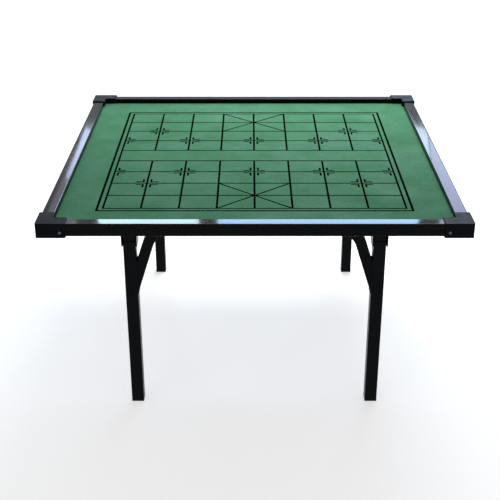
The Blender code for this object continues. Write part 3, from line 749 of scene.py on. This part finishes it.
def dress_rail(name, axis, outward):
    """The tube and the ledge of a rail along an axis. Its outer side is low or high by the sign."""
    run = "xy".index(axis)
    across = 1 - run
    low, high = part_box("rail_" + name)
    tube_low, tube_high = low.copy(), high.copy()
    ledge_low, ledge_high = low.copy(), high.copy()
    ledge_high.z = low.z + LEDGE_THICKNESS
    lap = LEDGE_WIDTH + RAIL_WALL / 2
    if outward > 0:
        tube_low[across] += LEDGE_WIDTH
        ledge_high[across] = low[across] + lap
    else:
        tube_high[across] -= LEDGE_WIDTH
        ledge_low[across] = high[across] - lap
    if axis == "y":
        ledge_low.y += LEDGE_WIDTH + LEDGE_GAP
        ledge_high.y -= LEDGE_WIDTH + LEDGE_GAP
    skin = rail_tube(tube_low, tube_high, (X, Y)[run], (Y, X)[run] * outward)
    shape = fused(skin, bar(ledge_low, ledge_high, LEDGE_EDGE, 1))
    return add_piece(
        "dressed_rail_" + name, shape, [LACQUER[axis]], TOP_BODY, "rail_lacquer", "rail_" + name
    )


for rail in (("front", "x", -1), ("back", "x", 1), ("left", "y", -1), ("right", "y", 1)):
    dressed = dress_rail(*rail)
    print(dressed.name, len(dressed.data.polygons), "faces")

# %% [markdown]
# ## Corner guards
#
# A guard is a moulded elbow that slips over the ends of two rails. It stands a little proud of them,
# its free ends are chamfered down to the rails, and its outer corner is rounded. It is modelled for
# the right back corner and mirrored to the others: an L in plan is extruded, then the corner, the
# ends and every other edge are bevelled in that order, and at last the sockets, the core and the
# screw recesses are cut out.

# %% Corner guards
SEAT_GAP = 0.0003
GUARD_WALL = 0.0025
GUARD_RADIUS = 0.0035
GUARD_STEPS = 5
GUARD_CHAMFER = 0.0021
GUARD_EDGE = 0.0005
GUARD_WEB = 0.003
OVERRUN = 0.005
GUARD_SCREW_HEAD = 0.0014
RECESS_GAP = 0.0004

guard_low, guard_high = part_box("corner_guard_back_right")
rail_low, rail_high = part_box("rail_right")
rail_inner = rail_low.x + LEDGE_WIDTH
guard_inner = rail_inner - SEAT_GAP - GUARD_WALL
guard_end = guard_low.x
panel_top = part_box("playing_panel")[1].z
screw_place = middle("guard_screw_back_right_end")
screw_radius = size("guard_screw_back_right_end").x / 2


def guard_blank():
    """The outside of the guard at the right back corner."""
    outer = guard_high.x
    outline = [
        (guard_end, outer), (guard_end, guard_inner), (guard_inner, guard_inner),
        (guard_inner, guard_end), (outer, guard_end), (outer, outer),
    ]
    shape = plate(outline, guard_low.z, guard_high.z)
    corner = max(lengthwise(shape, Z), key=lambda edge: sum(edge.verts[0].co.xy))
    bevel(shape, [corner], GUARD_RADIUS, GUARD_STEPS)
    mouths = [face for face in shape.faces if min(face.calc_center_median().xy) < guard_end + TOUCH]
    bevel(shape, edges_of(mouths), GUARD_CHAMFER, 1)
    bevel(shape, sharp_edges(shape), GUARD_EDGE, EDGE_STEPS)
    return shape


def guard_hollows():
    """What is cut out of the guard: rail sockets, the board's room, the core and the screw recesses."""
    mouth, below = guard_end - OVERRUN, guard_low.z - OVERRUN
    stop = rail_high.y + SEAT_GAP
    inner, outer = rail_inner - SEAT_GAP, rail_high.x + SEAT_GAP
    low, high = rail_low.z - SEAT_GAP, rail_high.z + SEAT_GAP
    relief = rail_inner - SEAT_GAP / 2
    core_low, core_high = stop + GUARD_WEB, guard_high.x - GUARD_WALL
    radius = screw_radius + RECESS_GAP
    depth = guard_high.x - GUARD_SCREW_HEAD - RECESS_GAP
    along_rail, rise = screw_place.x, screw_place.z
    return [
        bar((mouth, inner, low), (stop, outer, high)),
        bar((inner, mouth, low), (outer, stop, high)),
        bar((mouth, mouth, below), (relief, relief, panel_top + SEAT_GAP)),
        bar((core_low, core_low, below), (core_high, core_high, guard_high.z - GUARD_WALL)),
        rod((along_rail, depth, rise), (along_rail, guard_high.x + OVERRUN, rise), radius),
        rod((depth, along_rail, rise), (guard_high.x + OVERRUN, along_rail, rise), radius),
    ]


guard = cut_away(guard_blank(), guard_hollows())
for corner, end, x, y in CORNERS:
    shape = guard.copy()
    bmesh.ops.scale(shape, vec=(x, y, 1), verts=shape.verts)
    add_piece(
        "dressed_guard_" + corner, shape, [GUARD_PLASTIC], TOP_BODY, "guard_plastic",
        "corner_guard_" + corner,
    )
print("guards:", len(CORNERS), "with", len(guard.faces), "faces each")
guard.free()

# %% [markdown]
# ## Screws
#
# All the screws have pan heads with a cross recess. The crown of the head is a quarter of an ellipse
# on an upright rim, and the profile is spun round the axis. Two small bars cut the cross. It could
# be one cut with a modelled driver bit, but from outside two bars look the same. Each screw is turned
# at random round its own axis, as a screwdriver leaves it.

# %% Screws
CROWN_STEPS = 6
RIM_SHARE = 0.4
RECESS_LENGTH = 0.58
RECESS_WIDTH = 0.15
RECESS_DEPTH = 0.62
TIP_CHAMFER = 0.0004
GUARD_SCREW_SHANK = 0.0016
SCREW_HEAD = 0.0022
SCREW_SHANK = 0.0018
SCREW_SEED = 7
screwdriver = random.Random(SCREW_SEED)


def crown(head_radius, head_height):
    """The top of a pan head, from its middle out and down to its rim."""
    rim = head_height * RIM_SHARE
    points = [(0.0, head_height)]
    for step in range(1, CROWN_STEPS + 1):
        angle = math.pi / 2 * step / CROWN_STEPS
        points.append((head_radius * math.sin(angle), rim + (head_height - rim) * math.cos(angle)))
    return points


def pan_head(head_radius, head_height, shank_radius, length):
    """A pan head with its seat at the origin, and its shank below."""
    return spun(crown(head_radius, head_height) + [
        (head_radius, 0.0), (shank_radius, 0.0), (shank_radius, TIP_CHAMFER - length),
        (shank_radius - TIP_CHAMFER, -length), (0.0, -length),
    ])


def cross_recess(head_radius, head_height):
    """The two bars that cut the cross into a head."""
    reach, half = head_radius * RECESS_LENGTH, head_radius * RECESS_WIDTH
    bottom, top = head_height * (1 - RECESS_DEPTH), head_height + OVERRUN
    return [
        bar((-reach, -half, bottom), (reach, half, top)),
        bar((-half, -reach, bottom), (half, reach, top)),
    ]


def dress_screws(prefix, direction_of, head_height, shank_radius):
    """Replaces every solid whose name starts with a prefix by a screw of its size."""
    for node in sorted(name for name in frame["nodes"] if name.startswith(prefix)):
        direction = Vector(direction_of(node))
        span = size(node)
        total = abs(span.dot(direction))
        head_radius = min(span) / 2
        seat = middle(node) + direction * (total / 2 - head_height)
        blank = pan_head(head_radius, head_height, shank_radius, total - head_height)
        shape = cut_away(blank, cross_recess(head_radius, head_height))
        turn = Matrix.Rotation(screwdriver.uniform(0, math.pi), 4, "Z")
        moved(shape, pointing(seat, direction) @ turn)
        add_piece("dressed_" + node, shape, [ZINC], TOP_BODY, "zinc_steel", node)


def out_of_guard(node):
    """Out of the guard's end face or side face."""
    place = middle(node)
    if node.endswith("_end"):
        return (0, math.copysign(1, place.y), 0)
    return (math.copysign(1, place.x), 0, 0)


def downwards(node):
    """Every screw under the table has its head below."""
    return -Z


dress_screws("guard_screw_", out_of_guard, GUARD_SCREW_HEAD, GUARD_SCREW_SHANK)
dress_screws("cross_rail_screw_", downwards, SCREW_HEAD, SCREW_SHANK)
dress_screws("bracket_screw_", downwards, SCREW_HEAD, SCREW_SHANK)

# %% [markdown]
# ## The printed sheet
#
# The lines of the board are ink in the sheet, with no height of their own. They could be painted by
# a texture, but then their edges are only as sharp as the texture. Here the top face of the sheet is
# cut along both edges of every line, and the faces that lie on a line take the ink as their material.
# Ink and sheet stay one skin, flat and sharp at any distance.
#
# The layout is the traditional one: nine upright lines and ten level ones, a double border, an open
# river in the middle, crossed diagonals in the two palaces, and small angle marks at the starting
# points.

# %% Layout of the board
COLUMN = 0.0815
ROW = 0.0729
GRID_MIDDLE_Y = -0.008
LINE = 0.0047
BORDER_LINE = 0.0056
BORDER_GAP = 0.0125
MARK_GAP = 0.0085
MARK_LENGTH = 0.0142
COLUMNS, ROWS = 8, 9
RIVER = 4
PALACE = (3, 5)
CANNONS = [(column, row) for column in (1, 7) for row in (2, 7)]
SOLDIERS = [(column, row) for column in range(0, COLUMNS + 1, 2) for row in (3, 6)]

columns = [(i - COLUMNS / 2) * COLUMN for i in range(COLUMNS + 1)]
rows = [GRID_MIDDLE_Y + (j - ROWS / 2) * ROW for j in range(ROWS + 1)]
strips = []


def upright(x, y_low, y_high, width=LINE):
    """Remembers an inked line along Y, as its limits in X and in Y."""
    half = width / 2
    strips.append((x - half, x + half, y_low - half, y_high + half))


def level(y, x_low, x_high, width=LINE):
    """Remembers an inked line along X, as its limits in X and in Y."""
    half = width / 2
    strips.append((x_low - half, x_high + half, y - half, y + half))


for i, x in enumerate(columns):
    if i in (0, COLUMNS):
        upright(x, rows[0], rows[-1])
    else:
        upright(x, rows[0], rows[RIVER])
        upright(x, rows[RIVER + 1], rows[-1])
for y in rows:
    level(y, columns[0], columns[-1])

border_x = columns[-1] + BORDER_GAP
border_low, border_high = rows[0] - BORDER_GAP, rows[-1] + BORDER_GAP
for x in (-border_x, border_x):
    upright(x, border_low, border_high, BORDER_LINE)
for y in (border_low, border_high):
    level(y, -border_x, border_x, BORDER_LINE)

for column, row in CANNONS + SOLDIERS:
    for x_sign in (-1, 1):
        if 0 <= column + x_sign <= COLUMNS:
            for y_sign in (-1, 1):
                x, y = columns[column] + x_sign * MARK_GAP, rows[row] + y_sign * MARK_GAP
                level(y, *sorted((x, x + x_sign * MARK_LENGTH)))
                upright(x, *sorted((y, y + y_sign * MARK_LENGTH)))
print("inked lines:", len(strips))

# %% [markdown]
# ### Where the ink is
#
# The sheet fills the rim and is notched round the guards. Once its top is cut along the lines, every
# face is asked whether its middle lies on a line or on a diagonal. That is simpler than keeping track
# of what each cut has made.


# %% Helpers for the print
def sheet_outline():
    """The sheet in plan, notched round the guards."""
    edge = size("playing_sheet").x / 2
    arm, step = guard_end - SEAT_GAP, guard_inner - SEAT_GAP
    notch = [(edge, arm), (step, arm), (step, step), (arm, step), (arm, edge)]
    points = []
    for _ in CORNERS:
        points += notch
        notch = [(-b, a) for a, b in notch]
    return points


def top_faces(shape, x_low=-math.inf, x_high=math.inf, y_low=-math.inf, y_high=math.inf):
    """The upper faces whose middles lie between some limits."""
    found = []
    for face in shape.faces:
        spot = face.calc_center_median()
        if face.normal.z > PARALLEL and x_low < spot.x < x_high and y_low < spot.y < y_high:
            found.append(face)
    return found


def cut_faces(shape, faces, point, normal):
    """Cuts some faces along a plane."""
    verts = dict.fromkeys(vert for face in faces for vert in face.verts)
    bmesh.ops.bisect_plane(
        shape, geom=[*faces, *edges_of(faces), *verts], dist=TOUCH, plane_co=point, plane_no=normal
    )


def on_line(x, y):
    """True on an upright or a level line."""
    return any(x0 < x < x1 and y0 < y < y1 for x0, x1, y0, y1 in strips)


def on_diagonal(x, y):
    """True on the crossed lines of a palace."""
    for left, right, bottom, top in palaces:
        width, height = right - left, top - bottom
        u, v = (x - left) / width, (y - bottom) / height
        if 0 < u < 1 and 0 < v < 1:
            share = min(abs(u - v), abs(u + v - 1))
            return share * width * height / math.hypot(width, height) < LINE / 2
    return False


palaces = []
for first_row in (0, ROWS - 2):
    palaces.append((columns[PALACE[0]], columns[PALACE[1]], rows[first_row], rows[first_row + 2]))
print("palaces:", [[round(limit, 3) for limit in palace] for palace in palaces])

# %% [markdown]
# ### Cutting the print into the sheet
#
# One `bisect_plane` cuts the top along each edge of a line. The diagonals cross only the palaces, so
# only the faces there are cut for them.

# %% Cut and ink the sheet
sheet_low, sheet_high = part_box("playing_sheet")
sheet = plate(sheet_outline(), sheet_low.z, sheet_high.z)
for x in sorted({round(x, 6) for limits in strips for x in limits[:2]}):
    cut_faces(sheet, top_faces(sheet), (x, 0, 0), X)
for y in sorted({round(y, 6) for limits in strips for y in limits[2:]}):
    cut_faces(sheet, top_faces(sheet), (0, y, 0), Y)
for left, right, bottom, top in palaces:
    for first, last in (((left, bottom), (right, top)), ((left, top), (right, bottom))):
        run = Vector((last[0] - first[0], last[1] - first[1], 0)).normalized()
        across = run.cross(Z)
        for shift in (-LINE / 2, LINE / 2):
            point = Vector((*first, 0)) + across * shift
            cut_faces(sheet, top_faces(sheet, left, right, bottom, top), point, across)
for face in top_faces(sheet):
    spot = face.calc_center_median()
    face.material_index = int(on_line(spot.x, spot.y) or on_diagonal(spot.x, spot.y))
inked = sum(face.material_index for face in sheet.faces)
print("sheet:", len(sheet.faces), "faces,", inked, "of them inked")
add_piece(
    "printed_sheet", sheet, [SHEET_GREEN, SHEET_INK], TOP_BODY, "playing_sheet", "playing_sheet",
    outwards=False,
)

# %% [markdown]
# ## The board and the cross rails
#
# The pressed board is a plain slab, and its solid already has the right shape and bores, so it stays
# and only gets its finish. The cross rails below it are flat tubes with rounded corners, made as the
# rim rails are.

# %% Board and cross rails
CROSS_RADIUS = 0.0018
CROSS_WALL = 0.0015
panel_mesh = frame["nodes"]["playing_panel"].data
panel_mesh.materials.clear()
panel_mesh.materials.append(BOARD_CORE)
for end, y in ENDS:
    node = "cross_rail_" + end
    shape = tube(*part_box(node), X, CROSS_RADIUS, CROSS_WALL)
    add_piece("dressed_" + node, shape, [POWDER_COAT], TOP_BODY, "frame_steel", node)
    print(node, [round(length, 4) for length in size(node)])

# %% [markdown]
# ## Legs and feet
#
# A leg is a square tube with its pivot hole near the top. Its foot is a rubber pad with a plug in the
# end of the tube. The pad has softened edges and a shallow hollow in its sole, which two insets make:
# the first leaves the rim, and the second sinks what is inside it.

# %% Legs and feet
LEG_RADIUS = 0.0026
LEG_WALL = 0.0015
BOLT_RADIUS = 0.003
HOLE_GAP = 0.0003
PAD_EDGE = 0.0012
PAD_STEPS = 3
PAD_THICKNESS = 0.004
SOLE_RIM = 0.005
SOLE_HOLLOW = 0.0006
PLUG_EDGE = 0.0006
PLUG_LAP = 0.0005


def bolt_hole(x_low, x_high, end):
    """The bar that cuts the hole for a pivot bolt, some way past both sides."""
    pivot = PIVOTS[FRAME_BODY[end]]
    start = (x_low - OVERRUN, pivot.y, pivot.z)
    stop = (x_high + OVERRUN, pivot.y, pivot.z)
    return rod(start, stop, BOLT_RADIUS + HOLE_GAP)


def dress_leg(corner, end):
    """The tube, with its hole for the pivot bolt."""
    node = "leg_" + corner
    low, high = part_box(node)
    shape = cut_away(tube(low, high, Z, LEG_RADIUS, LEG_WALL), [bolt_hole(low.x, high.x, end)])
    add_piece("dressed_" + node, shape, [POWDER_COAT], FRAME_BODY[end], "frame_steel", node)


def foot_pad(low, high):
    """A pad with a hollow sole, soft all round but for the edges under the tube."""
    pad = bar(low, high)
    soft = [edge for edge in pad.edges if min(v.co.z for v in edge.verts) < high.z - TOUCH]
    bevel(pad, soft, PAD_EDGE, PAD_STEPS)
    sole = min(pad.faces, key=lambda face: face.calc_center_median().z)
    bmesh.ops.inset_region(pad, faces=[sole], thickness=SOLE_RIM, use_even_offset=True)
    bmesh.ops.inset_region(
        pad, faces=[sole], thickness=SOLE_HOLLOW, depth=-SOLE_HOLLOW, use_even_offset=True
    )
    return pad


def dress_foot(corner, end):
    """The pad, and its plug in the tube."""
    node = "foot_cap_" + corner
    low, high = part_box(node)
    pad_high = Vector((high.x, high.y, low.z + PAD_THICKNESS))
    inset = LEG_WALL + SEAT_GAP
    plug = bar(
        (low.x + inset, low.y + inset, pad_high.z - PLUG_LAP),
        (high.x - inset, high.y - inset, high.z), PLUG_EDGE,
    )
    shape = fused(foot_pad(low, pad_high), plug)
    add_piece("dressed_foot_" + corner, shape, [FOOT_RUBBER], FRAME_BODY[end], "foot_rubber", node)


for corner, end, x, y in CORNERS:
    dress_leg(corner, end)
    dress_foot(corner, end)
print("legs and feet:", 2 * len(CORNERS))

# %% [markdown]
# ## Bow braces
#
# A bow is one square tube, bent twice on a mandrel, that stiffens a pair of legs. Half of it is
# modelled: a rounded square is extruded along the level bar, spun round the bend, extruded down the
# arm and cut off at the face of the leg. The half is mirrored, and the skin gets its wall. A spin
# gives the bend its true round, which a straight loft between two sections can't.

# %% Bow braces
BOW_LEAN = math.radians(18.0)
BOW_BEND = 0.058
BOW_RADIUS = 0.0026
BOW_WALL = 0.0015
BEND_STEPS = 18


def rounded_square(half, radius):
    """The outline of a rounded square in local XY, as edges without a face."""
    shape = bmesh.new()
    bmesh.ops.create_grid(shape, x_segments=1, y_segments=1, size=half)
    bevel(shape, shape.verts, radius, CORNER_STEPS, "VERTICES")
    bmesh.ops.delete(shape, geom=list(shape.faces), context="FACES_ONLY")
    return shape


def everything(shape):
    """All of a shape, for the operators that want it listed."""
    return [*shape.verts, *shape.edges, *shape.faces]


def extruded(shape, edges, step):
    """Pulls some edges along a step, and gives the edges at its far end."""
    grown = bmesh.ops.extrude_edge_only(shape, edges=edges)["geom"]
    bmesh.ops.translate(shape, vec=step, verts=only(grown, bmesh.types.BMVert))
    return only(grown, bmesh.types.BMEdge)


def bow_lines(end):
    """Where the middle line of a bow runs: its level, the centre of its bend and the leg's face."""
    low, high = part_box("bow_brace_" + end)
    half = (high.y - low.y) / 2
    face = high.x
    bar_z = high.z - half
    bend_z = bar_z - BOW_BEND
    join_z = low.z + half / math.sin(BOW_LEAN)
    drop = bend_z + BOW_BEND * math.sin(BOW_LEAN) - join_z
    bend_x = face - BOW_BEND * math.cos(BOW_LEAN) - drop * math.tan(BOW_LEAN)
    return half, face, bar_z, bend_x, bend_z, (low.y + high.y) / 2


def dress_bow(end):
    """Half a bow from its middle to the leg, mirrored and walled."""
    half, face, bar_z, bend_x, bend_z, y = bow_lines(end)
    shape = rounded_square(half, BOW_RADIUS)
    moved(shape, Matrix.Translation((0, y, bar_z)) @ Matrix.Rotation(math.pi / 2, 4, "Y"))
    bar_end = extruded(shape, list(shape.edges), X * bend_x)
    bend = bmesh.ops.spin(
        shape, geom=bar_end, cent=(bend_x, y, bend_z), axis=Y, angle=math.pi / 2 - BOW_LEAN,
        steps=BEND_STEPS,
    )
    down = Vector((math.sin(BOW_LEAN), 0, -math.cos(BOW_LEAN)))
    past_the_leg = face / math.sin(BOW_LEAN)
    extruded(shape, only(bend["geom_last"], bmesh.types.BMEdge), down * past_the_leg)
    bmesh.ops.bisect_plane(
        shape, geom=everything(shape), dist=TOUCH, plane_co=(face, 0, 0), plane_no=X, clear_outer=True
    )
    bmesh.ops.mirror(shape, geom=everything(shape), axis="X", merge_dist=TOUCH)
    bmesh.ops.remove_doubles(shape, verts=shape.verts, dist=TOUCH)
    return add_piece(
        "dressed_bow_" + end, walled(shape, BOW_WALL), [POWDER_COAT], FRAME_BODY[end], "frame_steel",
        "bow_brace_" + end,
    )


for end, y in ENDS:
    print(dress_bow(end).name, [round(value, 4) for value in bow_lines(end)])

# %% [markdown]
# ## Welds
#
# Each bow is welded to its legs all round. A weld bead is a row of small overlapping ripples, painted
# over with the frame. Its ripples could be a bump, but a bump has no outline. A closed curve round
# the joint, thick and thin by turns, gives them with one tube.

# %% Welds
BEAD_RADIUS = 0.0017
RIPPLE = 0.14
RIPPLE_POINTS = 3
POINT_STEP = 0.0013
BEAD_ROUNDNESS = 2


def bead_route(end, x_sign):
    """Points round the end of a bow, on the face of the leg."""
    half, face, *_, y = bow_lines(end)
    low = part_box("bow_brace_" + end)[0].z
    high = low + 2 * half / math.sin(BOW_LEAN)
    turns = [(y - half, low), (y + half, low), (y + half, high), (y - half, high)]
    points = []
    for (y0, z0), (y1, z1) in zip(turns, turns[1:] + turns[:1]):
        count = max(2, round(math.hypot(y1 - y0, z1 - z0) / POINT_STEP))
        for k in range(count):
            points.append((x_sign * face, y0 + (y1 - y0) * k / count, z0 + (z1 - z0) * k / count))
    return points


def weld_bead(points):
    """A rippled tube along a closed route."""
    curve = bpy.data.curves.new("bead", "CURVE")
    curve.dimensions = "3D"
    curve.bevel_depth = BEAD_RADIUS
    curve.bevel_resolution = BEAD_ROUNDNESS
    spline = curve.splines.new("POLY")
    spline.points.add(len(points) - 1)
    spline.use_cyclic_u = True
    for number, (point, place) in enumerate(zip(spline.points, points)):
        point.co = (*place, 1.0)
        point.radius = 1.0 + RIPPLE * math.cos(2 * math.pi * number / RIPPLE_POINTS)
    holder = bpy.data.objects.new("bead", curve)
    scene.collection.objects.link(holder)
    shape = evaluated(holder)
    bpy.data.objects.remove(holder)
    bpy.data.curves.remove(curve)
    return shape


for corner, end, x, y in CORNERS:
    shape = weld_bead(bead_route(end, x))
    bead = add_piece("weld_" + corner, shape, [POWDER_COAT], FRAME_BODY[end], "frame_steel")
    print(bead.name, len(bead.data.polygons), "faces")

# %% [markdown]
# ## Brackets
#
# Each leg hangs in a pressed steel bracket: a base plate, a cheek on each side of the leg and a stop
# across the outside, which the open leg leans on. It could be bent from one sheet, but plates that
# overlap a little and are fused give the same piece with less trouble. The edges are rounded before
# the plates are fused, so that the bends between them stay crisp.

# %% Brackets
BRACKET_THICKNESS = 0.0025
BASE_RADIUS = 0.003
CHEEK_GAP = 0.0006
CHEEK_RADIUS = 0.006
CHEEK_HALF = 0.0178
STOP_GAP = 0.0003
STOP_TOP = 0.017
STOP_HEIGHT = 0.008
PRESSED_EDGE = 0.0004


def bracket_base(low, high):
    """A plate with round corners."""
    base = bar(low, high)
    bevel(base, lengthwise(base, Z), BASE_RADIUS, CORNER_STEPS)
    bevel(base, sharp_edges(base), PRESSED_EDGE, EDGE_STEPS)
    return base


def bracket_cheek(x_low, x_high, end, bottom, top):
    """An upright plate beside the leg, round at its lower corners, with the bolt's hole."""
    y = PIVOTS[FRAME_BODY[end]].y
    cheek = bar((x_low, y - CHEEK_HALF, bottom), (x_high, y + CHEEK_HALF, top))
    lower = [edge for edge in lengthwise(cheek, X) if edge.verts[0].co.z < bottom + TOUCH]
    bevel(cheek, lower, CHEEK_RADIUS, SOFT_STEPS)
    bevel(cheek, sharp_edges(cheek), PRESSED_EDGE, EDGE_STEPS)
    return cut_away(cheek, [bolt_hole(x_low, x_high, end)])


def dress_bracket(corner, end, y_sign):
    """Base plate, cheeks and stop, fused into one piece."""
    low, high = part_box("leg_bracket_" + corner)
    leg_low, leg_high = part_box("leg_" + corner)
    base_low = high.z - BRACKET_THICKNESS
    cheek_top = base_low + PRESSED_EDGE
    left, right = leg_low.x - CHEEK_GAP, leg_high.x + CHEEK_GAP
    near = (leg_high.y if y_sign > 0 else leg_low.y) + y_sign * STOP_GAP
    stop_top = PIVOTS[FRAME_BODY[end]].z - STOP_TOP
    half = BRACKET_THICKNESS / 2
    shape = fused(
        bracket_base((low.x, low.y, base_low), high),
        bracket_cheek(left - BRACKET_THICKNESS, left, end, low.z, cheek_top),
        bracket_cheek(right, right + BRACKET_THICKNESS, end, low.z, cheek_top),
        bar(
            (left - half, near, stop_top - STOP_HEIGHT),
            (right + half, near + y_sign * BRACKET_THICKNESS, stop_top), PRESSED_EDGE,
        ),
    )
    return add_piece(
        "dressed_bracket_" + corner, shape, [POWDER_COAT], TOP_BODY, "frame_steel",
        "leg_bracket_" + corner,
    )


for corner, end, x, y in CORNERS:
    bracket = dress_bracket(corner, end, y)
    print(bracket.name, len(bracket.data.polygons), "faces")

# %% [markdown]
# ## Bolts, nuts and springs
#
# A bolt with a domed head is the pin of each hinge, and a nut closes it. A leaf spring bears on the
# square end of the leg, so that the leg snaps open and shut. The spring is modelled as it is made: a
# flat strip, bent twice, whose bends are rounded before it gets its thickness.

# %% Bolts, nuts and springs
BOLT_HEAD = 0.003
NUT_SIDES = 6
NUT_EDGE = 0.0004
SPRING_THICKNESS = 0.0008
SPRING_SEAT = 0.012
SPRING_SLOPE = 0.008
SPRING_BEND = 0.0032


def dress_bolt(corner, x_sign):
    """The bolt, with its head on the outer side."""
    node = "pivot_bolt_" + corner
    span = size(node)
    direction = X * x_sign
    seat = middle(node) + direction * (span.x / 2 - BOLT_HEAD)
    shape = pan_head(span.y / 2, BOLT_HEAD, BOLT_RADIUS, span.x - BOLT_HEAD)
    moved(shape, pointing(seat, direction))
    add_piece("dressed_" + node, shape, [ZINC], TOP_BODY, "zinc_steel", node)


def dress_nut(corner, end):
    """The nut, with the bolt's hole."""
    node = "pivot_nut_" + corner
    span, centre = size(node), middle(node)
    start, stop = centre - X * (span.x / 2), centre + X * (span.x / 2)
    block = rod(start, stop, span.y / 2, NUT_SIDES)
    quarter = Matrix.Rotation(math.pi / 2, 3, "X")
    bmesh.ops.rotate(block, cent=centre, matrix=quarter, verts=block.verts)
    rims = edges_of(face for face in block.faces if abs(face.normal.x) > PARALLEL)
    bevel(block, rims, NUT_EDGE, EDGE_STEPS)
    shape = cut_away(block, [bolt_hole(start.x, stop.x, end)])
    add_piece("dressed_" + node, shape, [ZINC], TOP_BODY, "zinc_steel", node)


def dress_spring(corner, y_sign):
    """A strip bent twice, rounded at its bends and then given its thickness."""
    node = "catch_spring_" + corner
    low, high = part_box(node)
    start, tip = (low.y, high.y) if y_sign > 0 else (high.y, low.y)
    seat, leaf = high.z - SPRING_THICKNESS, low.z
    first_bend = start + y_sign * SPRING_SEAT
    second_bend = first_bend + y_sign * SPRING_SLOPE
    path = [(start, seat), (first_bend, seat), (second_bend, leaf), (tip, leaf)]
    shape = bmesh.new()
    points = [shape.verts.new((low.x, y, z)) for y, z in path]
    edges = [shape.edges.new(pair) for pair in zip(points, points[1:])]
    extruded(shape, edges, X * (high.x - low.x))
    bevel(shape, [edge for edge in shape.edges if len(edge.link_faces) == 2], SPRING_BEND, SOFT_STEPS)
    bmesh.ops.recalc_face_normals(shape, faces=shape.faces)
    if sum(face.normal.z for face in shape.faces) > 0:
        bmesh.ops.reverse_faces(shape, faces=shape.faces)
    bmesh.ops.solidify(shape, geom=list(shape.faces), thickness=SPRING_THICKNESS)
    return add_piece("dressed_" + node, shape, [SPRING_STEEL], TOP_BODY, "spring_steel", node)


for corner, end, x, y in CORNERS:
    dress_bolt(corner, x)
    dress_nut(corner, end)
    print(dress_spring(corner, y).name)
